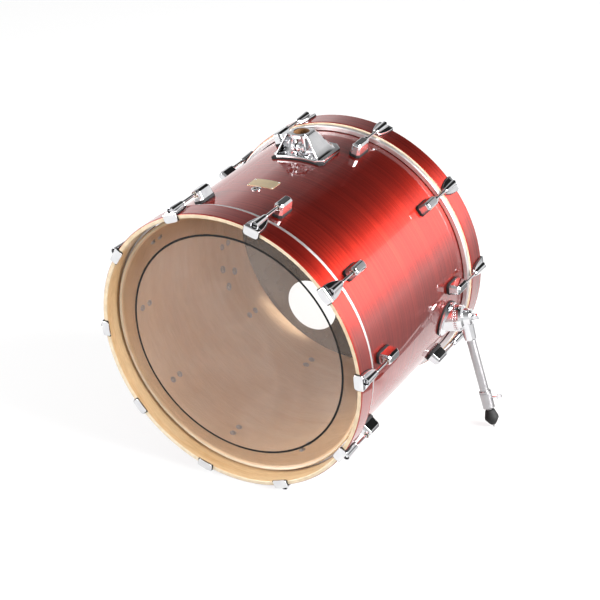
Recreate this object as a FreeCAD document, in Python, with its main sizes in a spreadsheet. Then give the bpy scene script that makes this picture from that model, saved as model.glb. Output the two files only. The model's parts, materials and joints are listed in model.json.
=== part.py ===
import FreeCAD, Part
import math
import os
import re

import Sketcher

from FreeCAD import Placement, Rotation, Vector

# Bass drum, millimetres.  X runs across the drum, Y along its axis from the batter
# side to the resonant side, Z up.  The origin is on the floor under the drum's middle.
# Until the last step everything is modelled about the drum's own axis.

SIZES = {
    # Shell
    "shell_radius": 279.4,
    "shell_wall": 7.5,
    "shell_depth": 457.2,
    "edge_roundover": 2.0,
    "wrap_thickness": 0.5,
    "wrap_setback": 6.0,
    # Wood hoops
    "hoop_overhang": 15.6,
    "hoop_wall": 9.5,
    "hoop_width": 45.0,
    "hoop_stand": 31.7,
    "hoop_round": 2.0,
    "hoop_rim": 3.0,
    "inlay_depth": 0.6,
    # Heads, with the aluminium flesh hoops that hold them
    "film_thickness": 0.5,
    "film_clearance": 1.0,
    "collar_rise": 3.5,
    "flesh_width": 8.0,
    "flesh_wall": 10.0,
    "flesh_round": 2.0,
    "underlay_inner": 235.5,
    "underlay_margin": 2.0,
    "underlay_thickness": 0.4,
    "port_radius": 60.8,
    "port_offset": 194.4,
    "port_angle": 214.9,
    # Ring of tension hardware
    "lug_count": 10,
    "first_lug_angle": 18.0,
    "rod_stand": 6.5,
    "rod_radius": 3.0,
    "thread_clearance": 0.05,
    "rod_clearance": 0.3,
    # Claws
    "claw_half_width": 16.5,
    "claw_plate": 2.7,
    "claw_liner": 1.5,
    "claw_lip": 4.0,
    "claw_straight": 14.0,
    "claw_length": 46.0,
    "claw_nose": 7.0,
    "boss_radius": 7.8,
    "boss_nose_radius": 5.8,
    "boss_start": 6.0,
    "recess_radius": 6.2,
    "recess_depth": 10.0,
    # Tension rod heads
    "head_square": 6.0,
    "head_height": 6.0,
    "flange_radius": 4.7,
    "flange_thickness": 1.8,
    "flange_gap": 0.1,
    "rod_spare": 4.0,
    # Lugs
    "lug_station": 110.0,
    "lug_length": 45.0,
    "lug_width": 22.0,
    "lug_cover": 6.5,
    "lug_corner": 6.0,
    "lug_taper": 7.0,
    "lug_round": 2.2,
    "lug_gasket": 3.5,
    "gasket_margin": 1.5,
    "nut_radius": 5.0,
    "nut_length": 20.0,
    "nut_inset": 1.0,
    "nut_clearance": 0.05,
    "lug_screw_radius": 2.0,
    "lug_screw_spread": 12.0,
    "lug_screw_grip": 8.0,
    "screw_clearance": 0.4,
    "screw_head_radius": 4.0,
    "screw_head_height": 3.0,
    "washer_radius": 6.5,
    "washer_thickness": 1.2,
    # Badge and vent
    "badge_width": 59.0,
    "badge_length": 32.0,
    "badge_thickness": 0.8,
    "badge_inset": 157.3,
    "badge_glue": 0.1,
    "badge_corner": 1.5,
    "vent_inset": 129.3,
    "vent_radius": 5.0,
    "vent_wall": 1.5,
    "vent_flange": 3.5,
    "vent_height": 2.0,
    # Tom bracket
    "tom_inset": 146.6,
    "tom_bore": 14.4,
    "tom_bush_wall": 2.0,
    "tom_boss_wall": 3.0,
    "tom_height": 46.0,
    "tom_top_half": 24.0,
    "tom_foot_half": 50.0,
    "tom_front": 29.0,
    "tom_top_front": 21.0,
    "tom_top_rear": 21.0,
    "tom_foot_rear": 50.0,
    "tom_side_wall": 5.0,
    "tom_top_wall": 8.0,
    "tom_flange": 5.0,
    "tom_flange_margin": 9.0,
    "tom_flange_corner": 14.0,
    "tom_gasket": 3.5,
    "tom_slit": 3.0,
    "tom_ear_wall": 8.0,
    "tom_ear_setback": 2.0,
    "tom_ear_height": 20.0,
    "tom_bolt_radius": 3.0,
    "tom_bolt_height": 19.0,
    "tom_screw_radius": 3.0,
    "tom_screw_across": 38.0,
    "tom_screw_front": 20.0,
    "tom_screw_rear": 36.0,
    "tom_screw_grip": 3.5,
    # Spurs
    "spur_angle": 104.5,
    "spur_inset": 92.6,
    "spur_rise_angle": 8.0,
    "spur_turn_angle": 12.0,
    "spur_swing_angle": 10.3,
    "spur_lean_angle": 7.0,
    "spur_base_radius": 27.5,
    "spur_base_reach": 25.0,
    "spur_flange_radius": 37.0,
    "spur_flange": 4.0,
    "spur_gasket": 3.5,
    "spur_gasket_margin": 1.5,
    "spur_ring_gap": 0.3,
    "spur_disc": 8.0,
    "spur_leg_offset": 15.0,
    "spur_hub_radius": 19.0,
    "spur_hub_reach": 32.0,
    "socket_top_radius": 15.0,
    "socket_end_radius": 12.5,
    "socket_top": 12.0,
    "socket_length": 49.0,
    "leg_start": 8.0,
    "leg_radius": 9.5,
    "leg_bore_clearance": 0.1,
    "leg_end": 190.0,
    "clamp_start": 161.0,
    "clamp_length": 39.0,
    "clamp_wall": 3.0,
    "clamp_ring": 4.0,
    "clamp_groove": 1.2,
    "clamp_screw_at": 178.0,
    "clamp_screw_radius": 2.5,
    "clamp_screw_reach": 20.0,
    "inner_rod_radius": 6.35,
    "inner_rod_start": 75.0,
    "spike_radius": 4.0,
    "spike_tip_radius": 0.8,
    "spike_cone": 9.0,
    "foot_gap": 3.0,
    "foot_top_radius": 8.3,
    "foot_radius": 14.5,
    "foot_end_radius": 5.5,
    "foot_clear_of_tip": 7.0,
    "wing_shank_radius": 3.0,
    "wing_shank_depth": 18.0,
    "wing_hub_radius": 6.5,
    "wing_hub_length": 13.0,
    "wing_span": 34.0,
    "wing_thickness": 3.5,
    "wing_length": 16.0,
    "spur_screw_radius": 2.5,
    "spur_screw_circle": 24.0,
    "spur_screw_grip": 7.0,
    "wing_turn_angle": 150.0,
}

# Sizes that follow from the others, so that the pieces keep together.
DERIVED = {
    "hoop_radius": "(shell_radius + hoop_overhang)",
    "rod_circle": "(hoop_radius + rod_stand)",
    "badge_station": "(shell_depth / 2 - badge_inset)",
    "vent_station": "(shell_depth / 2 - vent_inset)",
    "tom_station": "(shell_depth / 2 - tom_inset)",
    "spur_station": "(shell_depth / 2 - spur_inset)",
}

ORIGIN = Vector(0, 0, 0)
AXIS = Vector(0, 1, 0)
UP = Vector(0, 0, 1)
ACROSS = Vector(1, 0, 0)

doc = FreeCAD.newDocument("bass_drum")
sheet = doc.addObject("Spreadsheet::Sheet", "Size")
for row, (alias, number) in enumerate(SIZES.items(), start=1):
    sheet.set(f"A{row}", alias)
    sheet.set(f"B{row}", str(number))
    sheet.setAlias(f"B{row}", alias)
doc.recompute()


def bound(text):
    """The expression with every size name pointed at the sheet."""
    def point(word):
        if word[0] in DERIVED:
            return bound(DERIVED[word[0]])
        return f"Size.{word[0]}" if word[0] in SIZES else word[0]
    return re.sub(r"[a-z][a-z_]*", point, text)


def value(text):
    """What the expression is worth now."""
    number = sheet.evalExpression(bound(text))
    return float(getattr(number, "Value", number))


def bind(item, prop, text):
    item.setExpression(prop, bound(text))


# Sizes that several pieces share, as expressions.  STATION is measured along the axis
# from the drum's middle, and goes negative towards the batter side.
HALF_DEPTH = "(shell_depth / 2 + hoop_stand)"
WRAP_RADIUS = "(shell_radius + wrap_thickness)"
FILM_INNER = f"({WRAP_RADIUS} + film_clearance)"
FILM_OUTER = f"({FILM_INNER} + film_thickness)"
LINER_OUTER = "(hoop_radius + claw_liner)"
CLAW_OUTER = f"({LINER_OUTER} + claw_plate)"
LUG_SEAT = f"({WRAP_RADIUS} + lug_gasket)"
LUG_TOP = "(rod_circle + lug_cover)"
TOM_SEAT = f"({WRAP_RADIUS} + tom_gasket)"
TOM_TOP = f"({TOM_SEAT} + tom_height)"
TOM_BOLT_Z = f"({TOM_SEAT} + tom_bolt_height)"
TOM_BOLT_Y = "(tom_station - (tom_front + tom_bore + tom_bush_wall) / 2)"
TOM_SCREW_FOOT = f"sqrt({TOM_SEAT} * {TOM_SEAT} - tom_screw_across * tom_screw_across)"
TOM_SCREW_TIP = f"({TOM_SCREW_FOOT} + tom_screw_grip)"
TOM_SLIT_HEIGHT = "(tom_height - tom_flange - tom_top_wall - 1)"
SPUR_SEAT = f"({WRAP_RADIUS} + spur_gasket)"
SHELL_INNER = "(shell_radius - shell_wall)"


def origin_plane(body, role):
    return next(item for item in body.Origin.OriginFeatures if item.Role == role)


def new_body(label):
    body = doc.addObject("PartDesign::Body", label)
    body.Label = label
    return body


def hold(sketch, geometry, vertex, text, across):
    """Bind one coordinate of a sketch corner to its expression."""
    now = value(text)
    if abs(now) < 1e-9:
        sketch.addConstraint(Sketcher.Constraint("PointOnObject", geometry, vertex, -2 if across else -1))
        return
    kind = "DistanceX" if across else "DistanceY"
    ends = (-1, 1, geometry, vertex) if now > 0 else (geometry, vertex, -1, 1)
    index = sketch.addConstraint(Sketcher.Constraint(kind, *ends, abs(now)))
    bind(sketch, f"Constraints[{index}]", text if now > 0 else f"-({text})")


def new_sketch(body, plane, name, offset=None):
    """A sketch on an origin plane, shifted by x, y, z and turned in its plane by an angle."""
    sketch = body.newObject("Sketcher::SketchObject", name)
    sketch.AttachmentSupport = (origin_plane(body, plane), [""])
    sketch.MapMode = "FlatFace"
    for letter, text in (offset or {}).items():
        place = "Rotation.Angle" if letter == "angle" else f"Base.{letter}"
        bind(sketch, f"AttachmentOffset.{place}", text)
    return sketch


def polygon(body, plane, name, corners, offset=None):
    """A closed sketch of straight sides; every corner is a pair of expressions."""
    sketch = new_sketch(body, plane, name, offset)
    points = [Vector(value(x), value(y), 0) for x, y in corners]
    for here, there in zip(points, points[1:] + points[:1]):
        sketch.addGeometry(Part.LineSegment(here, there))
    for index in range(len(points)):
        sketch.addConstraint(Sketcher.Constraint("Coincident", index, 2, (index + 1) % len(points), 1))
    for index, (x, y) in enumerate(corners):
        hold(sketch, index, 1, x, True)
        hold(sketch, index, 1, y, False)
    return sketch


def rectangle(left, right, low, high):
    """Corners of a rectangle for a sketch, as pairs of expressions."""
    return [(left, low), (right, low), (right, high), (left, high)]


def circle(body, plane, name, centre, radius, offset=None):
    """A sketch of one circle; centre and radius are expressions."""
    sketch = new_sketch(body, plane, name, offset)
    where = Vector(value(centre[0]), value(centre[1]), 0)
    sketch.addGeometry(Part.Circle(where, UP, value(radius)))
    hold(sketch, 0, 3, centre[0], True)
    hold(sketch, 0, 3, centre[1], False)
    index = sketch.addConstraint(Sketcher.Constraint("Radius", 0, value(radius)))
    bind(sketch, f"Constraints[{index}]", radius)
    return sketch


def revolve(body, sketch, axis="V_Axis", cut=False):
    """Turn a sketch all the way round, as material or as a groove."""
    before = body.Shape.Volume if cut else 0
    kind = "Groove" if cut else "Revolution"
    feature = body.newObject(f"PartDesign::{kind}", f"{kind}_{sketch.Name}")
    feature.Profile = sketch
    feature.ReferenceAxis = (sketch, [axis])
    feature.Angle = 360
    doc.recompute()
    if cut and feature.Shape.Volume >= before:
        raise RuntimeError(f"{feature.Name} cuts nothing")
    return feature


def pad(body, sketch, length, both_ways=False, taper=None, backwards=False):
    feature = body.newObject("PartDesign::Pad", f"Pad_{sketch.Name}")
    feature.Profile = sketch
    bind(feature, "Length", length)
    feature.Midplane = both_ways
    feature.Reversed = backwards
    if taper:
        bind(feature, "TaperAngle", taper)
    doc.recompute()
    return feature


def pocket(body, sketch, length, backwards=False, both_ways=False):
    """Cut a sketch along its normal; it has to take some material away."""
    before = body.Shape.Volume
    feature = body.newObject("PartDesign::Pocket", f"Pocket_{sketch.Name}")
    feature.Profile = sketch
    bind(feature, "Length", length)
    feature.Midplane = both_ways
    feature.Reversed = backwards
    doc.recompute()
    if feature.Shape.Volume >= before:
        raise RuntimeError(f"{feature.Name} cuts nothing")
    return feature


def soften(body, kind, size, wanted):
    """Fillet or chamfer the edges of the body's tip that the test picks."""
    tip = body.Tip
    names = [f"Edge{n}" for n, edge in enumerate(tip.Shape.Edges, start=1) if wanted(edge)]
    feature = body.newObject(f"PartDesign::{kind}", f"{kind}_{body.Name}")
    feature.Base = (tip, names)
    bind(feature, "Radius" if kind == "Fillet" else "Size", size)
    doc.recompute()
    return feature


def ring(label, corners, side=1):
    """A body turned about the drum's axis from (radius, station) corners."""
    body = new_body(label)
    if side < 0:
        corners = [(radius, f"-({station})") for radius, station in corners]
    revolve(body, polygon(body, "XY_Plane", f"{label}_profile", corners))
    return body


def boolean(kind, label, base, tool):
    result = doc.addObject(f"Part::{kind}", label)
    result.Label = label
    result.Base = base
    result.Tool = tool
    return result


def fuse(label, parts):
    result = doc.addObject("Part::MultiFuse", label)
    result.Label = label
    result.Shapes = parts
    return result


def compound(label, parts):
    result = doc.addObject("Part::Compound", label)
    result.Label = label
    result.Links = parts
    return result


def feature(label, shape):
    """A node whose shape is worked out in code from the sheet."""
    result = doc.addObject("Part::Feature", label)
    result.Label = label
    result.Shape = shape
    return result


def cylinder(label, radius, height, placement=None, offset=None):
    result = doc.addObject("Part::Cylinder", label)
    bind(result, "Radius", radius)
    bind(result, "Height", height)
    if placement:
        result.Placement = placement
    for letter, text in (offset or {}).items():
        bind(result, f"Placement.Base.{letter}", text)
    return result


def rod(radius, start, end):
    """A plain cylinder between two points, for drillings and round pieces made in code."""
    return Part.makeCylinder(radius, (end - start).Length, start, end - start)


# --- Shell, hoops and heads -----------------------------------------------------------

def lug_angles():
    count = int(round(value("lug_count")))
    return [value("first_lug_angle") + 360.0 * index / count for index in range(count)]


def radial(angle):
    """Unit vector out from the axis, at an angle from the top towards +X."""
    turn = math.radians(angle)
    return Vector(math.sin(turn), 0, math.cos(turn))


DRILL_SPARE = 5.0


def drillings():
    """Every hole through the shell and its wrap, as one compound of cylinders."""
    inner = value(SHELL_INNER) - DRILL_SPARE
    outer = value(WRAP_RADIUS) + DRILL_SPARE
    screw = value("lug_screw_radius + screw_clearance")
    holes = []
    for side in (-1, 1):
        middle = side * value(f"{HALF_DEPTH} - lug_station")
        for angle in lug_angles():
            for shift in (-value("lug_screw_spread"), value("lug_screw_spread")):
                foot = Vector(0, middle + shift, 0)
                holes.append(rod(screw, foot + radial(angle) * inner, foot + radial(angle) * outer))
    wide = value("tom_bore + tom_bush_wall")
    post = Vector(0, value("tom_station"), 0)
    holes.append(rod(wide, post + UP * inner, post + UP * outer))
    for spot in tom_screw_spots():
        radius = value("tom_screw_radius + screw_clearance")
        holes.append(rod(radius, spot + UP * (inner - 2 * DRILL_SPARE), spot + UP * outer))
    vent = Vector(0, -value("vent_station"), 0)
    holes.append(rod(value("vent_radius + vent_wall"), vent + UP * inner, vent + UP * outer))
    for mirror in (1, -1):
        for spot, out in spur_screw_spots(mirror):
            radius = value("spur_screw_radius + screw_clearance")
            holes.append(rod(radius, spot + out * (inner - DRILL_SPARE), spot + out * outer))
    return Part.makeCompound(holes)


def tom_screw_spots():
    """Feet of the tom bracket's four screws on the XY plane."""
    across = value("tom_screw_across")
    middle = value("tom_station")
    stations = (middle - value("tom_screw_front"), middle + value("tom_screw_rear"))
    return [Vector(x, y, 0) for x in (-across, across) for y in stations]


def spur_screw_spots(mirror):
    """Feet and directions of a spur base's three screws, which run parallel to its radial line."""
    out = radial(mirror * value("spur_angle"))
    sideways = AXIS.cross(out)
    middle = Vector(0, value("spur_station"), 0)
    spots = []
    for turn in (90, 210, 330):
        reach = value("spur_screw_circle")
        shift = AXIS * (reach * math.sin(math.radians(turn)))
        shift += sideways * (reach * math.cos(math.radians(turn)) * mirror)
        spots.append((middle + shift, out))
    return spots


def make_shell():
    end = "shell_depth / 2"
    peak = "(shell_radius - edge_roundover)"
    bevel = f"({peak} - {SHELL_INNER})"
    half = [
        (SHELL_INNER, f"{end} - {bevel}"),
        (peak, end),
        ("shell_radius", f"{end} - edge_roundover"),
    ]
    corners = half + [(radius, f"-({station})") for radius, station in reversed(half)]
    blank = ring("shell_blank", corners)
    edge = "(shell_depth / 2 - wrap_setback)"
    wrap_corners = [
        ("shell_radius", f"-{edge}"),
        (WRAP_RADIUS, f"-{edge}"),
        (WRAP_RADIUS, edge),
        ("shell_radius", edge),
    ]
    wrap_blank = ring("shell_wrap_blank", wrap_corners)
    holes = feature("shell_drillings", drillings())
    doc.recompute()
    return [boolean("Cut", "shell", blank, holes), boolean("Cut", "shell_wrap", wrap_blank, holes)]


def make_hoop(label, side):
    """Wood hoop with a shallow channel round it for the coloured inlay."""
    inner = "(hoop_radius - hoop_wall)"
    channel = "(hoop_radius - inlay_depth)"
    front = HALF_DEPTH
    back = f"({HALF_DEPTH} - hoop_width)"
    corners = [
        (inner, back),
        ("hoop_radius", back),
        ("hoop_radius", f"{back} + hoop_rim"),
        (channel, f"{back} + hoop_rim"),
        (channel, f"{front} - hoop_rim"),
        ("hoop_radius", f"{front} - hoop_rim"),
        ("hoop_radius", front),
        (inner, front),
    ]
    body = ring(label, corners, side)
    ends = (value(front), value(back))
    soften(body, "Fillet", "hoop_round", lambda edge: at_station(edge, ends))
    return body


def at_station(edge, stations):
    """Whether a round edge lies at one of these distances from the drum's middle."""
    return any(abs(abs(edge.CenterOfMass.y) - station) < 0.01 for station in stations)


def make_hoop_wraps():
    start = f"({HALF_DEPTH} - hoop_rim)"
    end = f"({HALF_DEPTH} - hoop_width + hoop_rim)"
    inner = "(hoop_radius - inlay_depth)"
    outer = f"({inner} + wrap_thickness)"
    corners = [(inner, end), (outer, end), (outer, start), (inner, start)]
    return compound("hoop_wraps", [ring(f"hoop_wrap_{side}", corners, side) for side in (-1, 1)])


def film_corners():
    """Half section of a head: a flat disc, a rounded shoulder and a collar."""
    edge = "(shell_depth / 2)"
    face = f"({edge} + film_thickness)"
    foot = f"({HALF_DEPTH} - hoop_width - flesh_width + flesh_round)"
    return [
        ("0", edge),
        (f"{FILM_INNER} - collar_rise", edge),
        (FILM_INNER, f"{edge} - collar_rise"),
        (FILM_INNER, foot),
        (FILM_OUTER, foot),
        (FILM_OUTER, f"{edge} - collar_rise + film_thickness / 2"),
        (f"{FILM_OUTER} - collar_rise", face),
        ("0", face),
    ]


def make_heads():
    batter = ring("batter_head", film_corners(), -1)
    blank = ring("resonant_head_blank", film_corners())
    port = cylinder(
        "port_cutter",
        "port_radius",
        "hoop_stand",
        Placement(ORIGIN, Rotation(ACROSS, -90)),
        {
            "x": "port_offset * sin(port_angle * 1deg)",
            "y": "(shell_depth - hoop_stand) / 2",
            "z": "port_offset * cos(port_angle * 1deg)",
        },
    )
    resonant = boolean("Cut", "resonant_head", blank, port)
    rim = "(shell_depth / 2 - underlay_thickness)"
    inside = f"({SHELL_INNER} - underlay_margin)"
    corners = [
        ("underlay_inner", rim),
        (inside, rim),
        (inside, "shell_depth / 2"),
        ("underlay_inner", "shell_depth / 2"),
    ]
    underlay = ring("batter_underlay_ring", corners, -1)
    return [batter, resonant, underlay]


def make_flesh_hoops():
    top = f"({HALF_DEPTH} - hoop_width)"
    foot = f"({top} - flesh_width)"
    outer = f"({FILM_OUTER} + flesh_wall)"
    corners = [(FILM_OUTER, foot), (outer, foot), (outer, top), (FILM_OUTER, top)]
    bodies = []
    for side in (-1, 1):
        body = ring(f"flesh_hoop_{side}", corners, side)
        crest = value(outer) * 2 * math.pi - 1
        soften(body, "Fillet", "flesh_round", lambda edge: edge.Length > crest)
        bodies.append(body)
    return compound("flesh_hoops", bodies)


# --- Claws, rods and lugs -------------------------------------------------------------
# Each piece is modelled once at the top of the batter side, then copied round both ends.

def around(shape, angle, side):
    """A copy of a batter-side piece at an angle, on the batter (-1) or resonant (1) side."""
    placed = shape.copy()
    placed.rotate(ORIGIN, AXIS, angle)
    if side > 0:
        placed = placed.mirror(ORIGIN, AXIS)
    return placed


def solids_around(label, master, sides):
    doc.recompute()
    shapes = [around(master.Shape, angle, side) for side in sides for angle in lug_angles()]
    solids = [solid for shape in shapes for solid in shape.Solids]
    return feature(label, Part.makeCompound(solids))


def inward(distance):
    """Station of a point that lies this far in from the batter hoop's outer face."""
    return f"({distance} - {HALF_DEPTH})"


def claw_blank(label, half_width, nose, front, outer, inner_cut, lip):
    """Claw-shaped plate: a plan outline cut to the curve of the hoop."""
    body = new_body(label)
    tip = inward("claw_length")
    plan = [
        (f"-({half_width})", inward(f"-({front})")),
        (half_width, inward(f"-({front})")),
        (half_width, inward("claw_straight")),
        (f"({half_width} + {nose} * 2) / 3", inward("(claw_straight + claw_length * 1.6) / 2.6")),
        (nose, tip),
        (f"-({nose})", tip),
        (f"-({half_width} + {nose} * 2) / 3", inward("(claw_straight + claw_length * 1.6) / 2.6")),
        (f"-({half_width})", inward("claw_straight")),
    ]
    outline = polygon(body, "XY_Plane", f"{label}_plan", plan, {"z": lip})
    pad(body, outline, "hoop_radius - hoop_wall")
    doc.recompute()
    far = "(hoop_radius * 3)"
    face = inward(f"-({front})")
    tail = inward("claw_length * 2")
    rim = [(outer, face), (far, face), (far, tail), (outer, tail)]
    revolve(body, polygon(body, "XY_Plane", f"{label}_rim", rim), cut=True)
    heel = inward(f"-({front} - {inner_cut})") if inner_cut else inward("0")
    seat = f"({outer} - {inner_cut})" if inner_cut else "hoop_radius"
    hollow = [("0", heel), (seat, heel), (seat, tail), ("0", tail)]
    revolve(body, polygon(body, "XY_Plane", f"{label}_hollow", hollow), cut=True)
    return body


def make_claw():
    lip = "(hoop_radius - hoop_wall - claw_lip)"
    front = "(claw_liner + claw_plate)"
    body = claw_blank("claw", "claw_half_width", "claw_nose", front, CLAW_OUTER, "claw_plate", lip)
    start = inward("boss_start")
    tip = inward("claw_length")
    sink = "(rod_circle - hoop_radius - claw_liner)"
    half = "(boss_radius - 1)"
    web = [
        (f"-{half}", start),
        (half, start),
        ("claw_nose * 0.8", tip),
        ("-claw_nose * 0.8", tip),
    ]
    pad(body, polygon(body, "XY_Plane", "claw_web", web, {"z": f"{LINER_OUTER} + 0.5"}), f"{sink} - 0.5")
    barrel = [
        (start, "0"),
        (start, "boss_radius"),
        (tip, "boss_nose_radius"),
        (tip, "0"),
    ]
    lift = {"y": "rod_circle"}
    revolve(body, polygon(body, "YZ_Plane", "claw_barrel", barrel, lift), "H_Axis")
    mouth_end = inward("boss_start + recess_depth")
    mouth = [
        (inward("-20"), "0"),
        (inward("-20"), "recess_radius"),
        (mouth_end, "recess_radius"),
        (mouth_end, "0"),
    ]
    revolve(body, polygon(body, "YZ_Plane", "claw_mouth", mouth, lift), "H_Axis", cut=True)
    bore_radius = "(rod_radius + rod_clearance)"
    bore = [
        (inward("boss_start"), "0"),
        (inward("boss_start"), bore_radius),
        (inward("claw_length + 10"), bore_radius),
        (inward("claw_length + 10"), "0"),
    ]
    revolve(body, polygon(body, "YZ_Plane", "claw_bore", bore, lift), "H_Axis", cut=True)
    under = inward("claw_length * 2")
    over = inward("-claw_liner")
    seat = [("0", over), (LINER_OUTER, over), (LINER_OUTER, under), ("0", under)]
    revolve(body, polygon(body, "XY_Plane", "claw_seat", seat), cut=True)
    return body


def make_claw_liner():
    lip = "(hoop_radius - hoop_wall - claw_lip + 0.5)"
    half = "(claw_half_width + 0.6)"
    return claw_blank("claw_liner", half, "(claw_nose + 0.6)", "claw_liner", LINER_OUTER, "", lip)


HEAD_SEAT = "(boss_start + recess_depth - flange_gap)"
LUG_FACE = "(lug_station - lug_length / 2)"
ROD_END = f"({LUG_FACE} + nut_inset + nut_length + rod_spare)"


def make_tension_rod():
    body = new_body("tension_rod")
    lift = {"y": "rod_circle"}
    seat = inward(HEAD_SEAT)
    flange = inward(f"{HEAD_SEAT} - flange_thickness")
    end = inward(ROD_END)
    profile = [
        (flange, "0"),
        (flange, "flange_radius"),
        (seat, "flange_radius"),
        (seat, "rod_radius"),
        (f"{end} - 1", "rod_radius"),
        (end, "rod_radius - 1"),
        (end, "0"),
    ]
    revolve(body, polygon(body, "YZ_Plane", "rod_profile", profile, lift), "H_Axis")
    half = "(head_square / 2)"
    key = [
        (f"-{half}", f"rod_circle - {half}"),
        (half, f"rod_circle - {half}"),
        (half, f"rod_circle + {half}"),
        (f"-{half}", f"rod_circle + {half}"),
    ]
    back = {"z": f"-({inward(f'{HEAD_SEAT} - flange_thickness')})"}
    square = polygon(body, "XZ_Plane", "rod_key", key, back)
    pad(body, square, "head_height")
    return body


def octagon(half_x, half_y, corner, middle):
    """Plan of a rectangle with cut corners, as (x, station) expressions."""
    quarter = [(half_x, f"({half_y} - {corner})"), (f"({half_x} - {corner})", half_y)]
    right = [(x, f"-{y}") for x, y in reversed(quarter)] + quarter
    points = right + [(f"-{x}", y) for x, y in reversed(right)]
    return [(x, f"{middle} + {y}") for x, y in points]


def make_lug():
    body = new_body("lug")
    plan = octagon("(lug_width / 2)", "(lug_length / 2)", "lug_corner", inward("lug_station"))
    outline = polygon(body, "XY_Plane", "lug_plan", plan, {"z": f"{LUG_SEAT} - 2"})
    pad(body, outline, f"{LUG_TOP} - {LUG_SEAT} + 2", taper="-lug_taper")
    top = value(LUG_TOP)
    soften(body, "Fillet", "lug_round", lambda edge: abs(edge.CenterOfMass.z - top) < 0.01)
    saddle(body, "lug", LUG_SEAT)
    lift = {"y": "rod_circle"}
    face = inward(f"{LUG_FACE} - 5")
    stop = inward(f"{LUG_FACE} + nut_inset + nut_length")
    bore_radius = "(nut_radius + nut_clearance)"
    bore = [(face, "0"), (face, bore_radius), (stop, bore_radius), (stop, "0")]
    revolve(body, polygon(body, "YZ_Plane", "lug_bore", bore, lift), "H_Axis", cut=True)
    tail = inward(f"{ROD_END} + 2")
    relief_radius = "(rod_radius + rod_clearance)"
    relief = [(stop, "0"), (stop, relief_radius), (tail, relief_radius), (tail, "0")]
    revolve(body, polygon(body, "YZ_Plane", "lug_relief", relief, lift), "H_Axis", cut=True)
    for name, shift in (("front", "-lug_screw_spread"), ("rear", "lug_screw_spread")):
        spot = ("0", f"{inward('lug_station')} + {shift}")
        below = {"z": f"{LUG_SEAT} - 5"}
        radius = "lug_screw_radius + thread_clearance"
        hole = circle(body, "XY_Plane", f"lug_hole_{name}", spot, radius, below)
        pocket(body, hole, "lug_screw_grip + 5.5", backwards=True)
    return body


def saddle(body, name, radius):
    """Hollow the underside of a piece to a cylinder about the drum's axis."""
    far = "shell_depth"
    hollow = [("0", f"-{far}"), (radius, f"-{far}"), (radius, far), ("0", far)]
    revolve(body, polygon(body, "XY_Plane", f"{name}_saddle", hollow), cut=True)


def curved_sheet(label, plan, inner, outer, low):
    """A plan outline kept between two cylinders about the drum's axis."""
    body = new_body(label)
    pad(body, polygon(body, "XY_Plane", f"{label}_plan", plan, {"z": low}), "shell_radius")
    far = "shell_depth"
    wide = "(hoop_radius * 3)"
    beyond = [(outer, f"-{far}"), (wide, f"-{far}"), (wide, far), (outer, far)]
    revolve(body, polygon(body, "XY_Plane", f"{label}_crown", beyond), cut=True)
    saddle(body, label, inner)
    return body


def make_lug_gasket():
    half_x = "(lug_width / 2 + gasket_margin)"
    half_y = "(lug_length / 2 + gasket_margin)"
    plan = octagon(half_x, half_y, "lug_corner", inward("lug_station"))
    body = curved_sheet("lug_gasket", plan, WRAP_RADIUS, LUG_SEAT, "shell_radius - 10")
    for name, shift in (("front", "-lug_screw_spread"), ("rear", "lug_screw_spread")):
        spot = ("0", f"{inward('lug_station')} + {shift}")
        hole = circle(body, "XY_Plane", f"gasket_hole_{name}", spot, "lug_screw_radius + screw_clearance")
        pocket(body, hole, "hoop_radius", backwards=True)
    return body


def make_lug_nut():
    body = new_body("lug_nut")
    start = inward(f"{LUG_FACE} + nut_inset")
    stop = inward(f"{LUG_FACE} + nut_inset + nut_length")
    hole = "(rod_radius + thread_clearance)"
    profile = [
        (f"{start} + 0.8", hole),
        (start, f"{hole} + 0.8"),
        (start, "nut_radius - 0.5"),
        (f"{start} + 0.5", "nut_radius"),
        (stop, "nut_radius"),
        (stop, hole),
    ]
    revolve(body, polygon(body, "YZ_Plane", "nut_profile", profile, {"y": "rod_circle"}), "H_Axis")
    return body


def screw_and_washer(foot, out, radius, under, tip):
    """A round-head screw and its washer, driven outward from the inside of the shell."""
    washer_top = under
    washer_bottom = under - value("washer_thickness")
    head_bottom = washer_bottom - value("screw_head_height")
    scale = radius / value("lug_screw_radius")
    shank = rod(radius, foot + out * (washer_bottom - 0.5), foot + out * tip)
    head = rod(value("screw_head_radius") * scale, foot + out * head_bottom, foot + out * washer_bottom)
    rounds = [edge for edge in head.Edges if edge.Closed]
    rim = [edge for edge in rounds if abs((edge.CenterOfMass - foot).Length - head_bottom) < 0.1]
    head = head.makeFillet(0.35 * value("screw_head_height"), rim) if rim else head
    disc = rod(value("washer_radius") * scale, foot + out * washer_bottom, foot + out * washer_top)
    hole = rod(radius + 0.2, foot + out * (washer_bottom - 1), foot + out * (washer_top + 1))
    return [head.fuse(shank).removeSplitter(), disc.cut(hole)]


def seat_height(radius, reach):
    """How far out a flat washer of this reach can sit against the inside of a cylinder."""
    return math.sqrt(radius * radius - reach * reach)


def make_lug_screws():
    under = seat_height(value(SHELL_INNER), value("washer_radius"))
    tip = value(f"{LUG_SEAT} + lug_screw_grip")
    solids = []
    for side in (-1, 1):
        middle = side * value(f"{HALF_DEPTH} - lug_station")
        for angle in lug_angles():
            for shift in (-value("lug_screw_spread"), value("lug_screw_spread")):
                foot = Vector(0, middle + shift, 0)
                solids += screw_and_washer(foot, radial(angle), value("lug_screw_radius"), under, tip)
    return feature("lug_screws", Part.makeCompound(solids))


# --- Badge and vent -------------------------------------------------------------------

def make_badge():
    middle = "(-badge_station)"
    plan = octagon("(badge_width / 2)", "(badge_length / 2)", "badge_corner", middle)
    inner = f"({WRAP_RADIUS} + badge_glue)"
    outer = f"({inner} + badge_thickness)"
    return curved_sheet("badge", plan, inner, outer, "shell_radius - 10")


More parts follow.
